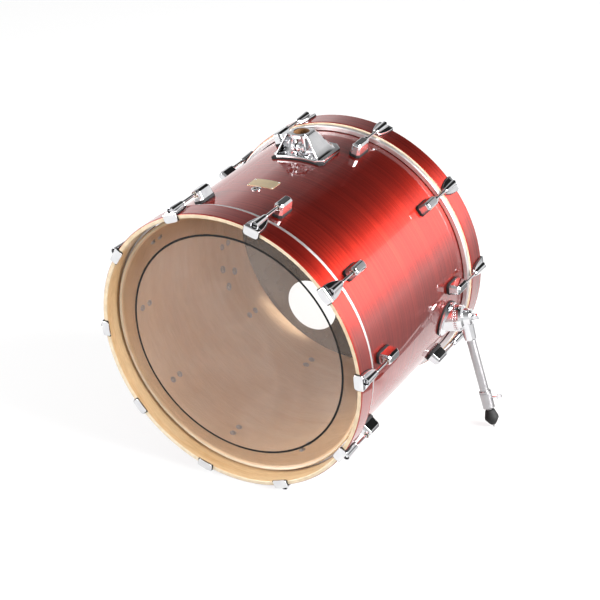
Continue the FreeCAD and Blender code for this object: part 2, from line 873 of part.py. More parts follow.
def make_vent():
    body = new_body("vent_grommet")
    foot = f"({SHELL_INNER} - vent_height)"
    face = f"({WRAP_RADIUS} + 0.1)"
    tube = "(vent_radius + vent_wall - 0.1)"
    lip = "(vent_radius + vent_wall + vent_flange)"
    profile = [
        ("vent_radius", foot),
        (tube, foot),
        (tube, face),
        (lip, face),
        (lip, f"{face} + vent_height / 2"),
        (f"{lip} - vent_height", f"{face} + vent_height"),
        ("vent_radius", f"{face} + vent_height"),
    ]
    revolve(body, polygon(body, "XZ_Plane", "vent_profile", profile))
    bind(body, "Placement.Base.y", "-vent_station")
    return body


# --- Tom bracket ----------------------------------------------------------------------

def tom_plan(margin):
    """Outline of the bracket's foot on the shell: wide at the front, narrower at the rear."""
    front = f"tom_station - tom_front - {margin} / 2"
    rear = f"tom_station + tom_foot_rear + {margin}"
    wide = f"(tom_foot_half + {margin})"
    slim = f"(tom_foot_half - tom_flange_corner / 3 + {margin})"
    cut = "tom_flange_corner"
    half = [
        (f"{wide} - {cut} / 2", front),
        (wide, f"{front} + {cut} / 2"),
        (slim, f"{rear} - {cut}"),
        (f"{slim} - {cut}", rear),
    ]
    return half + [(f"-({x})", y) for x, y in reversed(half)]


def make_tom_bracket():
    floor = f"({TOM_SEAT} + tom_flange)"
    plan = tom_plan("tom_flange_margin")
    body = curved_sheet("tom_bracket", plan, TOM_SEAT, floor, "shell_radius - 40")
    front = "(tom_station - tom_front)"
    low = f"{TOM_SEAT} - 18"
    slope = "((tom_foot_half - tom_top_half) / tom_height)"
    back_slope = "((tom_foot_rear - tom_top_rear) / tom_height)"
    foot_half = f"(tom_foot_half + 18 * {slope})"
    foot_rear = f"(tom_station + tom_foot_rear + 18 * {back_slope})"
    top_rear = "(tom_station + tom_top_rear)"
    base = rectangle(f"-{foot_half}", foot_half, front, foot_rear)
    crown = rectangle("-tom_top_half", "tom_top_half", "tom_station - tom_top_front", top_rear)
    lower = polygon(body, "XY_Plane", "tom_loft_foot", base, {"z": low})
    upper = polygon(body, "XY_Plane", "tom_loft_top", crown, {"z": TOM_TOP})
    loft = body.newObject("PartDesign::AdditiveLoft", "tom_loft")
    loft.Profile = lower
    loft.Sections = [upper]
    loft.Ruled = True
    doc.recompute()
    ceiling = f"({TOM_TOP} - tom_top_wall)"
    wall = "tom_side_wall"
    hollow = [
        (f"-(tom_foot_half - tom_flange * {slope} - {wall} * 1.2)", floor),
        (f"tom_foot_half - tom_flange * {slope} - {wall} * 1.2", floor),
        (f"tom_top_half + tom_top_wall * {slope} - {wall} * 1.2", ceiling),
        (f"-(tom_top_half + tom_top_wall * {slope} - {wall} * 1.2)", ceiling),
    ]
    cavity = polygon(body, "XZ_Plane", "tom_cavity", hollow, {"z": f"-({front} - 1)"})
    pocket(body, cavity, f"tom_front + tom_top_rear - {wall} + 1")
    boss = "(tom_bore + tom_bush_wall + tom_boss_wall)"
    column = circle(body, "XY_Plane", "tom_boss", ("0", "tom_station"), boss, {"z": low})
    pad(body, column, "tom_height + 17")
    ear = "(tom_slit / 2 + tom_ear_wall)"
    ear_back = "tom_station - tom_bore - tom_bush_wall - 1"
    ears = rectangle(f"-{ear}", ear, f"{front} + tom_ear_setback", ear_back)
    lug_low = f"({TOM_SEAT} + tom_bolt_height - tom_ear_height / 2)"
    pad(body, polygon(body, "XY_Plane", "tom_ears", ears, {"z": lug_low}), "tom_ear_height")
    saddle(body, "tom_foot", TOM_SEAT)
    middle = ("0", "tom_station")
    inside = {"z": "shell_radius - 30"}
    bore = circle(body, "XY_Plane", "tom_post_bore", middle, "tom_bore + tom_bush_wall", inside)
    pocket(body, bore, "hoop_radius", backwards=True)
    slit = rectangle("-tom_slit / 2", "tom_slit / 2", "tom_station - tom_front", "tom_station")
    cut = polygon(body, "XY_Plane", "tom_slit_cut", slit, {"z": f"{floor} + 1"})
    pocket(body, cut, TOM_SLIT_HEIGHT, backwards=True)
    drill_tom_bracket(body)
    return body


def drill_tom_bracket(body):
    """Holes for the pinch bolt and for the four screws from inside the shell."""
    spot = ("0", "0")
    where = {"x": TOM_BOLT_Y, "y": TOM_BOLT_Z}
    hole = circle(body, "YZ_Plane", "tom_bolt_hole", spot, "tom_bolt_radius + thread_clearance", where)
    pocket(body, hole, "(tom_slit + tom_ear_wall * 2) * 2", both_ways=True)
    for x in ("tom_screw_across", "-tom_screw_across"):
        for y in ("tom_station - tom_screw_front", "tom_station + tom_screw_rear"):
            name = f"tom_screw_hole_{len(body.Group)}"
            radius = "tom_screw_radius + thread_clearance"
            hole = circle(body, "XY_Plane", name, (x, y), radius, {"z": "shell_radius - 30"})
            pocket(body, hole, f"{TOM_SCREW_TIP} - shell_radius + 30.5", backwards=True)


def make_tom_gasket():
    plan = tom_plan("(tom_flange_margin + gasket_margin)")
    body = curved_sheet("tom_gasket", plan, WRAP_RADIUS, TOM_SEAT, "shell_radius - 40")
    middle = ("0", "tom_station")
    hole = circle(body, "XY_Plane", "tom_gasket_bore", middle, "tom_bore + tom_bush_wall")
    pocket(body, hole, "hoop_radius", backwards=True)
    for x in ("tom_screw_across", "-tom_screw_across"):
        for y in ("tom_station - tom_screw_front", "tom_station + tom_screw_rear"):
            name = f"tom_gasket_hole_{len(body.Group)}"
            hole = circle(body, "XY_Plane", name, (x, y), "tom_screw_radius + screw_clearance")
            pocket(body, hole, "hoop_radius", backwards=True)
    return body


TOM_BUSH_FOOT = f"({SHELL_INNER} - 2)"
TOM_BUSH_TOP = f"({TOM_TOP} - 1)"


def make_tom_bush():
    body = new_body("tom_bush")
    outer = "(tom_bore + tom_bush_wall)"
    profile = [
        ("tom_bore", TOM_BUSH_FOOT),
        (outer, TOM_BUSH_FOOT),
        (outer, TOM_BUSH_TOP),
        ("tom_bore + 0.6", TOM_BUSH_TOP),
        ("tom_bore", f"{TOM_BUSH_TOP} - 0.6"),
    ]
    revolve(body, polygon(body, "XZ_Plane", "bush_profile", profile))
    slit = rectangle("-tom_slit / 2", "tom_slit / 2", "-tom_bore * 2", "0")
    cut = polygon(body, "XY_Plane", "bush_slit", slit, {"z": f"{TOM_SEAT} + tom_flange + 1"})
    pocket(body, cut, TOM_SLIT_HEIGHT, backwards=True)
    bind(body, "Placement.Base.y", "tom_station")
    return body


def make_tom_clamp_bolt():
    body = new_body("tom_clamp_bolt")
    reach = "(tom_slit / 2 + tom_ear_wall)"
    profile = [
        (f"-{reach} - 3", "0"),
        (f"-{reach} - 3", "tom_bolt_radius - 0.6"),
        (f"-{reach} - 2.4", "tom_bolt_radius"),
        (f"{reach} + flange_gap", "tom_bolt_radius"),
        (f"{reach} + flange_gap", "flange_radius"),
        (f"{reach} + flange_gap + flange_thickness", "flange_radius"),
        (f"{reach} + flange_gap + flange_thickness", "0"),
    ]
    revolve(body, polygon(body, "XY_Plane", "tom_bolt_profile", profile), "H_Axis")
    key = rectangle("-head_square / 2", "head_square / 2", "-head_square / 2", "head_square / 2")
    away = {"z": f"{reach} + flange_gap + flange_thickness"}
    pad(body, polygon(body, "YZ_Plane", "tom_bolt_key", key, away), "head_height")
    bind(body, "Placement.Base.y", TOM_BOLT_Y)
    bind(body, "Placement.Base.z", TOM_BOLT_Z)
    return body


def make_bracket_screws():
    """Screws from inside the shell that hold the tom bracket and the two spur bases."""
    solids = []
    radius = value("tom_screw_radius")
    reach = value("tom_screw_across") + value("washer_radius") * radius / value("lug_screw_radius")
    under = seat_height(value(SHELL_INNER), reach)
    tip = value(f"{TOM_SCREW_TIP} - 0.5")
    for spot in tom_screw_spots():
        solids += screw_and_washer(spot, UP, radius, under, tip)
    radius = value("spur_screw_radius")
    reach = value("spur_screw_circle") + value("washer_radius") * radius / value("lug_screw_radius")
    under = seat_height(value(SHELL_INNER), reach)
    tip = spur_screw_tip() - 0.5
    for mirror in (1, -1):
        for spot, out in spur_screw_spots(mirror):
            solids += screw_and_washer(spot, out, radius, under, tip)
    return feature("bracket_screws", Part.makeCompound(solids))


# --- Spurs ----------------------------------------------------------------------------
# The spur frame has its origin in the middle of the base's outer face.  Its Z is the
# swivel axis, pointing out, and its -Y points down the leg but for the leg's lean.

def spur_directions():
    """Swivel axis and leg direction of the right-hand spur, about the drum's axis."""
    rise = math.radians(value("spur_rise_angle"))
    swing = math.radians(value("spur_turn_angle"))
    out = Vector(math.cos(rise) * math.cos(swing), math.cos(rise) * math.sin(swing), math.sin(rise))
    down = (UP * -1 + out * out.z).normalize()
    down = Rotation(out, -value("spur_swing_angle")).multVec(down)
    lean = math.radians(value("spur_lean_angle"))
    leg = down * math.cos(lean) + out * math.sin(lean)
    return out, down, leg


def spur_placement():
    out, down, _ = spur_directions()
    up = down * -1
    base = radial(value("spur_angle")) * value(WRAP_RADIUS) + AXIS * value("spur_station")
    return Placement(base + out * value("spur_base_reach"), Rotation(up.cross(out), up, out, "ZXY"))


def leg_length():
    """From the swivel axis to the spike's tip, whose lowest edge stands on the floor."""
    out, _, leg = spur_directions()
    root = spur_placement().Base + out * value("spur_leg_offset")
    edge = value("spike_tip_radius") * math.sqrt(1 - leg.z * leg.z)
    return (root.z + value("hoop_radius") - edge) / -leg.z


def spur_screw_tip():
    """Height of the spur screws' tips out from the drum's axis."""
    edge = value(f"sqrt({SPUR_SEAT} * {SPUR_SEAT} - spur_screw_circle * spur_screw_circle)")
    return edge + value("spur_screw_grip")


def radial_cylinder(label, radius):
    """A cylinder about the spur's radial line, long enough to cross the shell."""
    foot = AXIS * value("spur_station") + radial(value("spur_angle")) * (value(SHELL_INNER) - 30)
    turn = Rotation(UP, radial(value("spur_angle")))
    return cylinder(label, radius, "shell_wall + 80", Placement(foot, turn))


def spur_ring(label, inner, outer):
    near = "(spur_station - spur_flange_radius * 1.5)"
    far = "(spur_station + spur_flange_radius * 1.5)"
    return ring(label, [(inner, near), (outer, near), (outer, far), (inner, far)])


def spur_holes(radius_text, tip):
    radius = value(radius_text)
    start = value(SHELL_INNER) - 20
    spots = spur_screw_spots(1)
    return Part.makeCompound([rod(radius, spot + out * start, spot + out * tip) for spot, out in spots])


def make_spur_gasket():
    sheet_ring = spur_ring("spur_gasket_ring", WRAP_RADIUS, SPUR_SEAT)
    disc = radial_cylinder("spur_gasket_disc", "spur_flange_radius + spur_gasket_margin")
    plate = boolean("Common", "spur_gasket_plate", sheet_ring, disc)
    drill = spur_holes("spur_screw_radius + screw_clearance", value("hoop_radius"))
    holes = feature("spur_gasket_holes", drill)
    return boolean("Cut", "spur_gasket", plate, holes)


def make_spur_base():
    flange_ring = spur_ring("spur_flange_ring", SPUR_SEAT, f"({SPUR_SEAT} + spur_flange)")
    flange_disc = radial_cylinder("spur_flange_disc", "spur_flange_radius")
    flange = boolean("Common", "spur_flange_plate", flange_ring, flange_disc)
    place = spur_placement()
    length = "(spur_base_reach * 2 + 10)"
    back = Placement(place.multVec(Vector(0, 0, -value(length))), place.Rotation)
    barrel = cylinder("spur_barrel", "spur_base_radius", length, back)
    drum = ring("spur_drum", rectangle("0", SPUR_SEAT, "0", "shell_depth"))
    neck = boolean("Cut", "spur_neck", barrel, drum)
    solid = fuse("spur_base_solid", [flange, neck])
    depth = value("wing_shank_depth") + 2
    inner = place.multVec(Vector(0, 0, -depth))
    thread = rod(value("wing_shank_radius + thread_clearance"), inner, place.multVec(Vector(0, 0, 5)))
    screws = spur_holes("spur_screw_radius + thread_clearance", spur_screw_tip())
    holes = feature("spur_base_holes", Part.makeCompound([thread, screws]))
    return boolean("Cut", "spur_base", solid, holes)


def leg_profile(body, name, corners, cut=False):
    """Turn (distance down the leg, radius) corners about the leg's axis."""
    slant = {"y": "spur_leg_offset", "angle": "180 - spur_lean_angle"}
    return revolve(body, polygon(body, "YZ_Plane", name, corners, slant), "H_Axis", cut)


def make_spur_swivel():
    body = new_body("spur_swivel_right")
    gap = "spur_ring_gap"
    profile = [
        ("0", gap),
        ("spur_base_radius - 1", gap),
        ("spur_base_radius", f"{gap} + 1"),
        ("spur_base_radius", "spur_disc"),
        ("(spur_base_radius + spur_hub_radius) / 2 + 2", "spur_disc + 5"),
        ("spur_hub_radius", "spur_disc + 8"),
        ("spur_hub_radius - 2", "spur_hub_reach - 3"),
        ("spur_hub_radius - 6", "spur_hub_reach"),
        ("0", "spur_hub_reach"),
    ]
    revolve(body, polygon(body, "XZ_Plane", "swivel_profile", profile))
    socket = [
        ("-socket_top", "0"),
        ("-socket_top", "socket_top_radius - 5"),
        ("5 - socket_top", "socket_top_radius"),
        ("leg_start", "socket_top_radius"),
        ("socket_length - 2", "socket_end_radius"),
        ("socket_length", "socket_end_radius - 1.5"),
        ("socket_length", "0"),
    ]
    leg_profile(body, "swivel_socket", socket)
    seat = [
        ("leg_start", "0"),
        ("leg_start", "leg_radius"),
        ("socket_length + 10", "leg_radius"),
        ("socket_length + 10", "0"),
    ]
    leg_profile(body, "swivel_seat", seat, cut=True)
    radius = "wing_shank_radius + rod_clearance"
    hole = circle(body, "XY_Plane", "swivel_hole", ("0", "0"), radius, {"z": "-1"})
    pocket(body, hole, "spur_hub_reach + 2", backwards=True)
    under = [
        ("0", f"{gap} - 60"),
        ("spur_base_radius * 4", f"{gap} - 60"),
        ("spur_base_radius * 4", gap),
        ("0", gap),
    ]
    revolve(body, polygon(body, "XZ_Plane", "swivel_under", under), cut=True)
    return body


ROD_BORE = "(inner_rod_radius + leg_bore_clearance)"
CLAMP_END = "(clamp_start + clamp_length)"


def make_spur_tube():
    body = new_body("spur_tube_right")
    profile = [
        ("leg_start", ROD_BORE),
        ("leg_start", "leg_radius"),
        ("leg_end", "leg_radius"),
        ("leg_end", ROD_BORE),
    ]
    leg_profile(body, "tube_profile", profile)
    return drill_for_clamp_screw(body)


def make_spur_clamp():
    body = new_body("spur_clamp_right")
    outer = "(leg_radius + clamp_wall)"
    groove = "(clamp_start + clamp_ring)"
    profile = [
        ("clamp_start", "leg_radius"),
        ("clamp_start", f"{outer} - 0.8"),
        ("clamp_start + 0.8", outer),
        (groove, outer),
        (groove, f"{outer} - 1.2"),
        (f"{groove} + clamp_groove", f"{outer} - 1.2"),
        (f"{groove} + clamp_groove", outer),
        (f"{CLAMP_END} - 1.5", outer),
        (CLAMP_END, f"{outer} - 1.5"),
        (CLAMP_END, ROD_BORE),
        ("leg_end", ROD_BORE),
        ("leg_end", "leg_radius"),
    ]
    leg_profile(body, "clamp_profile", profile)
    return drill_for_clamp_screw(body)


CLAMP_SCREW_PLACE = {
    "x": "-clamp_screw_at * cos(spur_lean_angle * 1deg)",
    "y": "spur_leg_offset + clamp_screw_at * sin(spur_lean_angle * 1deg)",
    "angle": "90 - spur_lean_angle",
}


def drill_for_clamp_screw(body):
    hole_radius = "(clamp_screw_radius + thread_clearance)"
    reach = "(leg_radius * 3)"
    bore = rectangle("inner_rod_radius / 2", reach, "0", hole_radius)
    sketch = polygon(body, "YZ_Plane", f"{body.Name}_screw_hole", bore, CLAMP_SCREW_PLACE)
    revolve(body, sketch, "H_Axis", cut=True)
    return body


def make_spur_clamp_screw():
    """Key screw of the leg's clamp; its own frame has Z along the screw, out of the clamp."""
    body = new_body("spur_clamp_screw_right")
    collar = "(leg_radius + clamp_wall + clamp_screw_reach / 2)"
    profile = [
        ("0", f"{ROD_BORE} + 0.2"),
        ("clamp_screw_radius - 0.8", f"{ROD_BORE} + 0.2"),
        ("clamp_screw_radius", f"{ROD_BORE} + 1"),
        ("clamp_screw_radius", collar),
        ("clamp_screw_radius + 2.2", collar),
        ("clamp_screw_radius + 2.2", f"{collar} + 2"),
        ("0", f"{collar} + 2"),
    ]
    revolve(body, polygon(body, "XZ_Plane", "clamp_screw_profile", profile))
    half = "(head_square / 2)"
    key = [(f"-{half}", f"-{half}"), (half, f"-{half}"), (half, half), (f"-{half}", half)]
    head = polygon(body, "XY_Plane", "clamp_screw_key", key, {"z": f"{collar} + 2"})
    pad(body, head, "clamp_screw_reach / 2 - 2")
    return body


def make_spur_rod():
    body = new_body("spur_rod_right")
    tip = f"{leg_length():.6f}"
    shoulder = f"({CLAMP_END} + foot_gap)"
    profile = [
        ("inner_rod_start", "0"),
        ("inner_rod_start", "inner_rod_radius - 1"),
        ("inner_rod_start + 1", "inner_rod_radius"),
        (f"{shoulder} - 0.5", "inner_rod_radius"),
        (f"{shoulder} - 0.5", "spike_radius"),
        (f"{tip} - spike_cone", "spike_radius"),
        (tip, "spike_tip_radius"),
        (tip, "0"),
    ]
    leg_profile(body, "spur_rod_profile", profile)
    return body


def make_spur_foot():
    body = new_body("spur_foot_right")
    bore = "(spike_radius + thread_clearance)"
    start = f"({CLAMP_END} + foot_gap)"
    end = f"({leg_length():.6f} - foot_clear_of_tip)"
    profile = [
        (start, bore),
        (start, "foot_top_radius"),
        (f"{start} + 2", "foot_top_radius + 2"),
        (f"({start} + {end}) / 2 - 2", "foot_radius - 0.5"),
        (f"({start} + {end}) / 2", "foot_radius"),
        (f"({start} + {end}) / 2 + 4", "foot_radius"),
        (f"{end} - 2", "foot_end_radius + 2"),
        (end, "foot_end_radius"),
        (end, bore),
    ]
    leg_profile(body, "foot_profile", profile)
    return body


def make_wing_screw():
    body = new_body("spur_wing_screw_right")
    face = "(spur_hub_reach + flange_gap)"
    end = f"({face} + wing_hub_length)"
    profile = [
        ("0", "-wing_shank_depth"),
        ("wing_shank_radius - 0.8", "-wing_shank_depth"),
        ("wing_shank_radius", "0.8 - wing_shank_depth"),
        ("wing_shank_radius", face),
        ("wing_hub_radius", face),
        ("wing_hub_radius - 1", f"{end} - 2"),
        ("wing_hub_radius - 3", end),
        ("0", end),
    ]
    revolve(body, polygon(body, "XZ_Plane", "wing_profile", profile))
    half = "(wing_span / 2)"
    tip = f"({face} + 2 + wing_length)"
    wings = [
        ("-wing_hub_radius + 2", f"{face} + 2"),
        ("wing_hub_radius - 2", f"{face} + 2"),
        (f"{half} - 2", f"{tip} - 8"),
        (half, f"{tip} - 3"),
        (f"{half} - 4", tip),
        ("wing_hub_radius", f"{tip} - 6"),
        ("-wing_hub_radius", f"{tip} - 6"),
        (f"-{half} + 4", tip),
        (f"-{half}", f"{tip} - 3"),
        (f"-{half} + 2", f"{tip} - 8"),
    ]
    pad(body, polygon(body, "XZ_Plane", "wing_plan", wings), "wing_thickness", both_ways=True)
    return body


def make_right_spur():
    """The moving pieces of the right-hand spur, placed on the drum."""
    makers = (make_spur_swivel, make_spur_tube, make_spur_clamp, make_spur_rod, make_spur_foot)
    pieces = [make() for make in makers]
    place = spur_placement()
    for piece in pieces:
        piece.Placement = place
    wing = make_wing_screw()
    wing.Placement = place.multiply(Placement(ORIGIN, Rotation(UP, value("wing_turn_angle"))))
    screw = make_spur_clamp_screw()
    lean = math.radians(value("spur_lean_angle"))
    at = value("clamp_screw_at")
    spot = Vector(0, -at * math.cos(lean), value("spur_leg_offset") + at * math.sin(lean))
    screw.Placement = place.multiply(Placement(spot, Rotation(ACROSS, -value("spur_lean_angle"))))
    return pieces + [wing, screw]


def mirrored(label, source):
    result = doc.addObject("Part::Mirroring", label)
    result.Label = label
    result.Source = source
    result.Base = ORIGIN
    result.Normal = ACROSS
    return result


# --- The whole drum -------------------------------------------------------------------

def build():
    nodes = make_shell() + [make_hoop("batter_hoop", -1), make_hoop("resonant_hoop", 1)]
    nodes += [make_hoop_wraps()] + make_heads() + [make_flesh_hoops()]
    claw = make_claw()
    nodes += [solids_around("batter_claws", claw, (-1,)), solids_around("resonant_claws", claw, (1,))]
    nodes.append(solids_around("claw_liners", make_claw_liner(), (-1, 1)))
    lug = make_lug()
    nodes += [solids_around("batter_lugs", lug, (-1,)), solids_around("resonant_lugs", lug, (1,))]
    nodes.append(solids_around("lug_gaskets", make_lug_gasket(), (-1, 1)))
    nodes.append(solids_around("lug_nuts", make_lug_nut(), (-1, 1)))
    nodes.append(make_lug_screws())
    tension_rod = make_tension_rod()
    for name, side in (("batter", -1), ("resonant", 1)):
        for number, angle in enumerate(lug_angles(), start=1):
            nodes.append(feature(f"{name}_rod_{number:02d}", around(tension_rod.Shape, angle, side)))
    nodes += [make_badge(), make_vent()]
    nodes += [make_tom_bracket(), make_tom_gasket(), make_tom_bush(), make_tom_clamp_bolt()]
    nodes.append(make_bracket_screws())
    for label, piece in (("spur_bases", make_spur_base()), ("spur_gaskets", make_spur_gasket())):
        nodes.append(compound(label, [piece, mirrored(f"{piece.Name}_left", piece)]))
    for piece in make_right_spur():
        nodes += [piece, mirrored(piece.Label.replace("right", "left"), piece)]
    doc.recompute()
    return nodes


def check(nodes):
    for item in doc.Objects:
        if "Invalid" in item.State or "Error" in item.State:
            raise RuntimeError(f"{item.Label} failed: {item.State}")
    for node in nodes:
        if node.Shape.isNull() or not node.Shape.isValid() or not node.Shape.Solids:
            raise RuntimeError(f"{node.Label} has no valid solid")


def write(nodes):
    """Stand the drum on the floor and write one file a node."""
    os.makedirs("parts", exist_ok=True)
    for node in nodes:
        shape = node.Shape.copy()
        shape.translate(UP * value("hoop_radius"))
        shape.exportStep(os.path.join("parts", f"{node.Label}.step"))
        print(node.Label, len(shape.Solids), "solids")


drum = build()
check(drum)
write(drum)
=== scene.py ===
import json
import math

import bmesh
import bpy
from mathutils import Matrix, Vector


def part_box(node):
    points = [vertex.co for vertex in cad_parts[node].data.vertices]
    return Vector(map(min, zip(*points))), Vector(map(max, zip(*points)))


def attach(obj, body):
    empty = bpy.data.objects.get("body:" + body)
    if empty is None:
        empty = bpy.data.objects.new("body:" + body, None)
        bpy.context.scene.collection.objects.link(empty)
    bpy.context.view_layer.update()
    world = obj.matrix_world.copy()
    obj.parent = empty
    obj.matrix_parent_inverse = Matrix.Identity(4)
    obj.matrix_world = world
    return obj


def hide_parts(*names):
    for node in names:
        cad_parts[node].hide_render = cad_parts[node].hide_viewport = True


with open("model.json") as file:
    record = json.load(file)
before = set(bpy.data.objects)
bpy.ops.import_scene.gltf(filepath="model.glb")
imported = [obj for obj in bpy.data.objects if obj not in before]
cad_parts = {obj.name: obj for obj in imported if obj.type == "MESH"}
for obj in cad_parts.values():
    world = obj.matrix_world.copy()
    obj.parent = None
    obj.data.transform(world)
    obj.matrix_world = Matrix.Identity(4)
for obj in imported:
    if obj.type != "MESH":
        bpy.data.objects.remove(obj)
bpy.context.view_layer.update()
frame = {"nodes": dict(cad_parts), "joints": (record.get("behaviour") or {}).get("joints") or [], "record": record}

# Lengths are millimetres unless a comment says metres; the scene is in metres. The drum's
# axis lies along Y, at the height of the hoops' middle.
MM = 0.001
NODES = frame["nodes"]
HOOP_LOW, HOOP_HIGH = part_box("batter_hoop")
AXIS_HEIGHT = (HOOP_LOW.z + HOOP_HIGH.z) / 2 / MM
HOOP_RADIUS = (HOOP_HIGH.x - HOOP_LOW.x) / 2 / MM
FACE_STATION = abs(HOOP_LOW.y) / MM
ON_AXIS = Matrix.Translation((0, 0, AXIS_HEIGHT * MM))
LUG_COUNT = 10
FIRST_LUG_ANGLE = 18.0


# --- Node trees -----------------------------------------------------------------------

def set_sockets(node, numbers):
    """Sets a node's sockets by name; an underscore stands for a space."""
    for name, number in numbers.items():
        node.inputs[name.replace("_", " ")].default_value = number


class Graph:
    """The node tree of a material, the world or a lamp."""

    def __init__(self, owner):
        owner.use_nodes = True
        self.nodes = owner.node_tree.nodes
        self.links = owner.node_tree.links

    def add(self, kind, **numbers):
        """New node, with those numbers on its sockets."""
        node = self.nodes.new(kind)
        set_sockets(node, numbers)
        return node

    def join(self, source, target):
        self.links.new(source, target)

    def math(self, operation, a, b=0.0):
        """Output of a Math node; a and b may be outputs or plain numbers."""
        node = self.add("ShaderNodeMath")
        node.operation = operation
        for socket, item in zip(node.inputs, (a, b)):
            if isinstance(item, (int, float)):
                socket.default_value = item
            else:
                self.join(item, socket)
        return node.outputs["Value"]

    def spread(self, source, low, high, start=0.3, end=0.7):
        """A number that runs from low to high as the source runs from start to end."""
        span = self.add("ShaderNodeMapRange", From_Min=start, From_Max=end, To_Min=low, To_Max=high)
        self.join(source, span.inputs["Value"])
        return span.outputs["Result"]

    def split(self, place):
        """The x, y and z of a place."""
        node = self.add("ShaderNodeSeparateXYZ")
        self.join(place, node.inputs["Vector"])
        return node.outputs["X"], node.outputs["Y"], node.outputs["Z"]

    def seen_directly(self):
        """1 for rays from the camera, from gloss and through clear pieces, else 0."""
        path = self.add("ShaderNodeLightPath")
        total = path.outputs["Is Camera Ray"]
        for name in ("Is Glossy Ray", "Is Transmission Ray"):
            total = self.math("MAXIMUM", total, path.outputs[name])
        return total


class Paint(Graph):
    """A Principled material; its patterns are laid out in metres of the piece's own frame."""

    def __init__(self, name, **numbers):
        self.material = bpy.data.materials.new(name)
        super().__init__(self.material)
        self.shader = self.nodes["Principled BSDF"]
        set_sockets(self.shader, numbers)
        self.position = self.add("ShaderNodeTexCoord").outputs["Object"]

    def feed(self, socket, source):
        self.join(source, self.shader.inputs[socket])

    def noise(self, scale, detail, rough, distortion=0.0):
        """Noise whose scale is cycles per metre along x, y and z."""
        place = self.add("ShaderNodeMapping", Scale=scale)
        self.join(self.position, place.inputs["Vector"])
        noise = self.add(
            "ShaderNodeTexNoise", Scale=1.0, Detail=detail, Roughness=rough, Distortion=distortion)
        self.join(place.outputs["Vector"], noise.inputs["Vector"])
        return noise.outputs["Fac"]

    def ramp(self, source, *stops):
        """Colour ramp through (place, colour) stops."""
        ramp = self.add("ShaderNodeValToRGB")
        line = ramp.color_ramp.elements
        while len(line) < len(stops):
            line.new(0.5)
        for stop, (place, colour) in zip(line, stops):
            stop.position = place
            stop.color = (*colour, 1)
        self.join(source, ramp.inputs["Fac"])
        return ramp.outputs["Color"]

    def mix(self, share, a, b, blend="MIX"):
        """Colour b over colour a; each may be an output or a plain colour."""
        node = self.add("ShaderNodeMix")
        node.data_type = "RGBA"
        node.blend_type = blend
        sockets = (node.inputs["Factor"], node.inputs[6], node.inputs[7])
        for socket, item in zip(sockets, (share, a, b)):
            if isinstance(item, (int, float)):
                socket.default_value = item
            elif isinstance(item, tuple):
                socket.default_value = (*item, 1)
            else:
                self.join(item, socket)
        return node.outputs[2]

    def shaded(self, colour, source, start, tint):
        """The colour times a tint that fades to none as the source rises from start."""
        shade = self.ramp(source, (start, tint), (NO_TINT_FROM, WHITE))
        return self.mix(1.0, colour, shade, "MULTIPLY")

    def bump(self, source, strength, depth):
        """Surface relief; depth is in millimetres."""
        bump = self.add("ShaderNodeBump", Strength=strength, Distance=depth * MM)
        self.join(source, bump.inputs["Height"])
        self.feed("Normal", bump.outputs["Normal"])

    def wind(self):
        """Brushing that runs round the drum's axis."""
        tangent = self.add("ShaderNodeTangent")
        tangent.direction_type = "RADIAL"
        tangent.axis = "Y"
        self.feed("Tangent", tangent.outputs["Tangent"])

    def station(self):
        """Distance of the point from the drum's middle along its axis, in metres."""
        _, along, _ = self.split(self.position)
        return self.math("ABSOLUTE", along)

    def radius(self):
        """Distance of the point from the drum's axis, in metres."""
        x, _, z = self.split(self.position)
        height = self.math("SUBTRACT", z, AXIS_HEIGHT * MM)
        squares = [self.math("MULTIPLY", side, side) for side in (x, height)]
        return self.math("SQRT", self.math("ADD", *squares))


# --- Materials ------------------------------------------------------------------------

# Colours are linear red, green and blue; a pair is the darkest and the palest tone.
WHITE = (1.0, 1.0, 1.0)
RED_TONES = ((0.13, 0.0022, 0.0014), (0.29, 0.0110, 0.0052), (0.44, 0.0260, 0.0110))
RED_CLOUD = (0.86, 0.80, 0.80)
SHELL_TONES = ((0.86, 0.55, 0.31), (0.94, 0.65, 0.39))
SHELL_EDGE_TONE = (0.90, 0.76, 0.56)
SHELL_PORE = (0.90, 0.88, 0.85)
HOOP_INSIDE_TONES = ((0.84, 0.55, 0.28), (0.94, 0.69, 0.41))
HOOP_FACE_TONES = ((0.86, 0.67, 0.44), (0.94, 0.80, 0.60))
HOOP_PORE = (0.88, 0.86, 0.82)
CHROME_TONES = ((0.68, 0.68, 0.70), (0.76, 0.76, 0.77))
CLEAR_FILM_TONES = ((0.74, 0.58, 0.50), (0.80, 0.66, 0.58))
CLEAR_FILM_LINE = (0.004, 0.004, 0.004)
BLACK_FILM_TONES = ((0.012, 0.012, 0.013), (0.022, 0.022, 0.023))
UNDERLAY_TONE = (0.6, 0.55, 0.5)
UNDERLAY_LINE = (0.006, 0.006, 0.006)
NO_TINT_FROM = 0.60
METAL_GRAIN = (120.0, 120.0, 120.0)
METAL_DARK = 0.92
METAL_ROUGHEST = 1.3
RUBBER_PALE = 1.8

# Places on the drum where a material changes.
SHELL_EDGE = 228.6
SHELL_EDGE_BAND = 3.0
HOOP_WIDTH = 45.0
HOOP_FACE_BAND = 1.2
HOOP_WRAP_BAND = 1.3
LINE_INNER = 235.0
LINE_OUTER = 239.2


def brushed_red(paint):
    """Colour of the brushed red, and the streaks of its brushing, which run round the drum."""
    fine = paint.noise((1.0, 2100.0, 1.0), 2.0, 0.6)
    wide = paint.noise((1.0, 420.0, 1.0), 3.0, 0.65)
    cloud = paint.noise((3.0, 12.0, 3.0), 2.0, 0.5)
    streak = paint.mix(0.45, fine, wide)
    colour = paint.ramp(streak, *zip((0.34, 0.48, 0.64), RED_TONES))
    return paint.shaded(colour, cloud, 0.35, RED_CLOUD), streak


